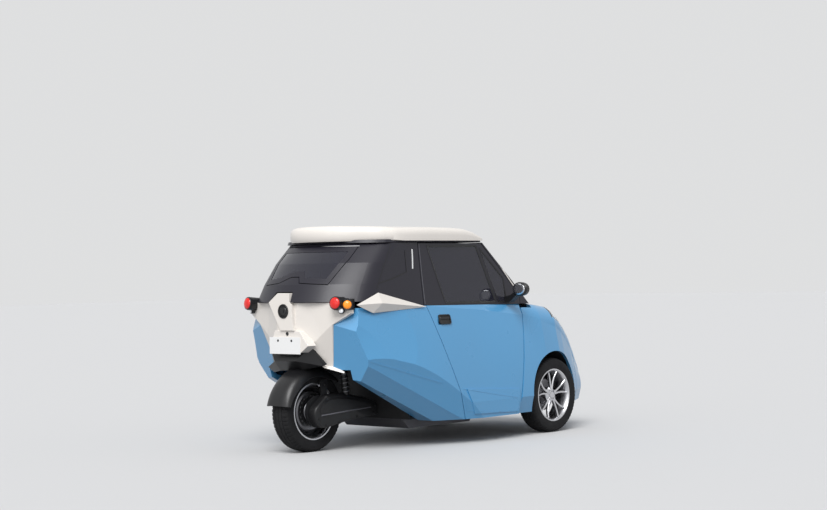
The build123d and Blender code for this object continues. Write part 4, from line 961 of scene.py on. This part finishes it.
def pad_part(outline, y, half):
    """A soft block: a side outline drawn in towards its two ends."""
    centre = Vector((sum(p[0] for p in outline) / len(outline), sum(p[1] for p in outline) / len(outline)))
    line = curve(outline, 5)
    rows = []
    for k in range(PAD_STEPS + 1):
        t = -1 + 2 * k / PAD_STEPS
        share = 1 - END_SHRINK * abs(t) ** 5
        drawn = [centre + (p - centre) * share for p in line]
        rows.append([(q.x, y + t * (half - END_TUCK), q.y) for q in drawn])
    return loft(*rows)


def settle(thing):
    """Applies every modifier of an object to its mesh."""
    shot = thing.evaluated_get(bpy.context.evaluated_depsgraph_get())
    mesh = bpy.data.meshes.new_from_object(shot)
    thing.modifiers.clear()
    thing.data = mesh


def puffed(name, part):
    """Swells a soft block with a short cloth simulation, caps the swelling and smooths it once."""
    made = piece(name, part, "chassis", FABRIC, (), 60)
    remesh = made.modifiers.new("remesh", "REMESH")
    remesh.mode = "VOXEL"
    remesh.voxel_size = CUSHION_VOXEL
    settle(made)
    rest = [v.co.copy() for v in made.data.vertices]
    cloth = made.modifiers.new("cloth", "CLOTH")
    cloth.settings.use_pressure = True
    cloth.settings.uniform_pressure_force = 4.0
    cloth.settings.effector_weights.gravity = 0.0
    cloth.settings.quality = 4
    scene.frame_start, scene.frame_end = 1, CUSHION_FRAMES
    cloth.point_cache.frame_start, cloth.point_cache.frame_end = 1, CUSHION_FRAMES
    for step in range(1, CUSHION_FRAMES + 1):
        scene.frame_set(step)
    settle(made)
    scene.frame_set(1)
    for v, was in zip(made.data.vertices, rest):
        moved = v.co - was
        if moved.length > CUSHION_CAP:
            v.co = was + moved.normalized() * CUSHION_CAP
    finer = made.modifiers.new("finer", "SUBSURF")
    finer.levels = finer.render_levels = 1
    settle(made)
    smooth(made.data, 60)
    return made


def welts(name, pad, y, low, high, cast):
    """Sewn welts laid on a pad between two points of (x, z), beside each other across the seat."""
    tree = ray_tree(pad.data)
    lines = [strip(tree, [(low[0], y + s, low[1]), (high[0], y + s, high[1])], WELT_WIDTH, WELT_RISE, cast)
             for s in WELT_PLACES]
    piece(name, merge(*lines), "chassis", STITCH, (), 40)


def seat_pieces():
    """Two seats: cloth cushion and back with welts, on black plinths."""
    down, to_back = Vector((0, 0, -1)), Vector((-0.99, 0, 0.12)).normalized()
    for side, _ in SIDES:
        node = f"seat_{side}"
        y = seat_middle(node)
        cushion = puffed(f"cushion_{side}", pad_part(CUSHION, y, CUSHION_HALF))
        backrest = puffed(f"seat_back_{side}", pad_part(BACKREST, y, BACKREST_HALF))
        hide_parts(node)
        welts(f"cushion_welts_{side}", cushion, y, (760, 420), (1140, 420), down)
        welts(f"back_welts_{side}", backrest, y, (780, 480), (700, 1050), to_back)
        (x0, z0), (x1, z1) = PLINTH_LOW, PLINTH_HIGH
        plinth = block((x0, y - PLINTH_HALF, z0), (x1, y + PLINTH_HALF, z1))
        shell = slab(SHELL, 1, y - SHELL_HALF, y + SHELL_HALF)
        piece(f"seat_shell_{side}", merge(plinth, shell), "chassis", PLASTIC, (), 30, 6.0)


# Display as (x, z) between two sides, vents and pedals
DISPLAY, DISPLAY_SIDES = ((1556, 954), (1566, 958), (1590, 1032), (1580, 1036)), (-60, 110)
VENT, VENT_X, VENT_Y, VENT_Z = ((0, 34), (0, 0), (-3, 0), (-3, 30), (-6, 34)), 1499, (-400, -150, 400), 905
PEDAL, PEDAL_HALF, PEDAL_Y = ((1560, 300), (1572, 296), (1600, 372), (1588, 376)), 32, (190, 290)


def dash_details():
    """A plain display, air vents and two pedals."""
    parts = [slab(DISPLAY, 1, *DISPLAY_SIDES)]
    for y in VENT_Y:
        parts.append(lathe(VENT, (VENT_X, y, VENT_Z), (1, 0, 0), 28))
    for y in PEDAL_Y:
        parts.append(slab(PEDAL, 1, y - PEDAL_HALF, y + PEDAL_HALF))
        parts.append(rod((1582, y, 372), (1630, y, 500), 8))
    piece("dash_details", merge(*parts), "chassis", SATIN, (), 30, 1.5)


# Mirror: middle and half sizes of its face as (y, z), and its glass's rings as (x, share of the face)
MIRROR_AT, MIRROR_HALF = (-702, 1097), (58, 44)
MIRROR_RINGS = ((1531, 0.93), (1526.6, 0.93), (1525.4, 0.9), (1525.8, 0.5))


def mirror_glass():
    """The mirror's glass face, looking back along the car."""
    around = [2 * pi * k / 40 for k in range(40)]
    glass_part = loft(*[[(x, MIRROR_AT[0] - MIRROR_HALF[0] * share * cos(a),
                          MIRROR_AT[1] + MIRROR_HALF[1] * share * sin(a)) for a in around]
                        for x, share in MIRROR_RINGS])
    for side, way in SIDES:
        piece(f"mirror_glass_{side}", on_side(glass_part, way), f"door_{side}", MIRROR, (), 50)


# Camera, light and floor

# The camera fitted to the photograph: its place from the rear axle in metres, and its angles
CAMERA_AT = (-8.5134, -8.5438, 1.242)
YAW, PITCH, ROLL = radians(41.468), radians(0.5504), radians(-1.117)
# Suns: direction, strength and width in degrees
SUNS = (
    ("sun", (0.68, 0.46, -0.9), 2.5, 35),
    ("fill", (0.9, 0.25, -0.4), 0.7, 70),
)
FLOOR_REACH = 60.0


def set_camera():
    """Adds the camera."""
    made = bpy.data.cameras.new("camera")
    made.lens = 74.89
    made.sensor_width = 36.0
    made.clip_end = 100.0
    holder = bpy.data.objects.new("camera", made)
    scene.collection.objects.link(holder)
    ahead = Vector((cos(PITCH) * cos(YAW), cos(PITCH) * sin(YAW), sin(PITCH)))
    level_right = Vector((sin(YAW), -cos(YAW), 0))
    level_up = level_right.cross(ahead)
    right = level_right * cos(ROLL) + level_up * sin(ROLL)
    up = level_up * cos(ROLL) - level_right * sin(ROLL)
    x, y, z = CAMERA_AT
    turn = Matrix((right, up, -ahead)).transposed().to_4x4()
    holder.matrix_world = Matrix.Translation((x + SHIFT, y, z)) @ turn
    scene.camera = holder


def sun_light(name, shines, strength, width):
    """A wide soft sun."""
    lamp = bpy.data.lights.new(name, "SUN")
    lamp.energy = strength
    lamp.angle = radians(width)
    holder = bpy.data.objects.new(name, lamp)
    scene.collection.objects.link(holder)
    holder.rotation_euler = Vector(shines).to_track_quat("-Z", "Y").to_euler()


def seen_directly(tree):
    """One for rays from the camera, off gloss and through glass, and nothing for the light on the object."""
    rays = tree.nodes.new("ShaderNodeLightPath")
    found = rays.outputs["Is Camera Ray"]
    for kind in ("Is Glossy Ray", "Is Transmission Ray"):
        found = largest(tree, found, rays.outputs[kind])
    return found


def background(tree, colour, strength):
    """One background of the world."""
    made = tree.nodes.new("ShaderNodeBackground")
    made.inputs["Color"].default_value = (*colour, 1)
    made.inputs["Strength"].default_value = strength
    return made.outputs[0]


def set_world():
    """An even surround whose colour meets the floor's where it is seen."""
    world = bpy.data.worlds.new("surround")
    scene.world = world
    world.use_nodes = True
    tree = world.node_tree
    tree.nodes.clear()
    blend = tree.nodes.new("ShaderNodeMixShader")
    out = tree.nodes.new("ShaderNodeOutputWorld")
    tree.links.new(seen_directly(tree), blend.inputs["Fac"])
    tree.links.new(background(tree, (0.92, 0.94, 0.98), 0.55), blend.inputs[1])
    tree.links.new(background(tree, (0.735, 0.74, 0.745), 1.0), blend.inputs[2])
    tree.links.new(blend.outputs[0], out.inputs["Surface"])


def set_floor():
    """A large pale floor, which throws back less light than it shows."""
    mesh = bpy.data.meshes.new("floor")
    corners = [(x * FLOOR_REACH, y * FLOOR_REACH, 0) for x, y in ((-1, -1), (1, -1), (1, 1), (-1, 1))]
    mesh.from_pydata(corners, [], [(0, 1, 2, 3)])
    floor = bpy.data.objects.new("floor", mesh)
    scene.collection.objects.link(floor)
    made, tree, shader = new_material("pale_floor")
    tree.links.new(mixed(tree, seen_directly(tree), (0.26, 0.26, 0.27), (0.62, 0.62, 0.62)),
                   shader.inputs["Base Color"])
    bumped(tree, shader, noise(tree, 40, 3), 0.05, 0.001)
    shader.inputs["Roughness"].default_value = 0.9
    shader.inputs["Specular IOR Level"].default_value = 0.1
    mesh.materials.append(made)


tail_pieces()
charge_flap()
plate_details()
tail_lenses()
roof_pieces()
pillar_details()
window_trim()
body_lines()
handle_pieces()
wheel_pieces()
mudguard_piece()
swing_arm_piece()
damper_spring()
seat_pieces()
dash_details()
mirror_glass()

set_camera()
set_world()
set_floor()
for sun in SUNS:
    sun_light(*sun)
scene.view_settings.view_transform = "Standard"
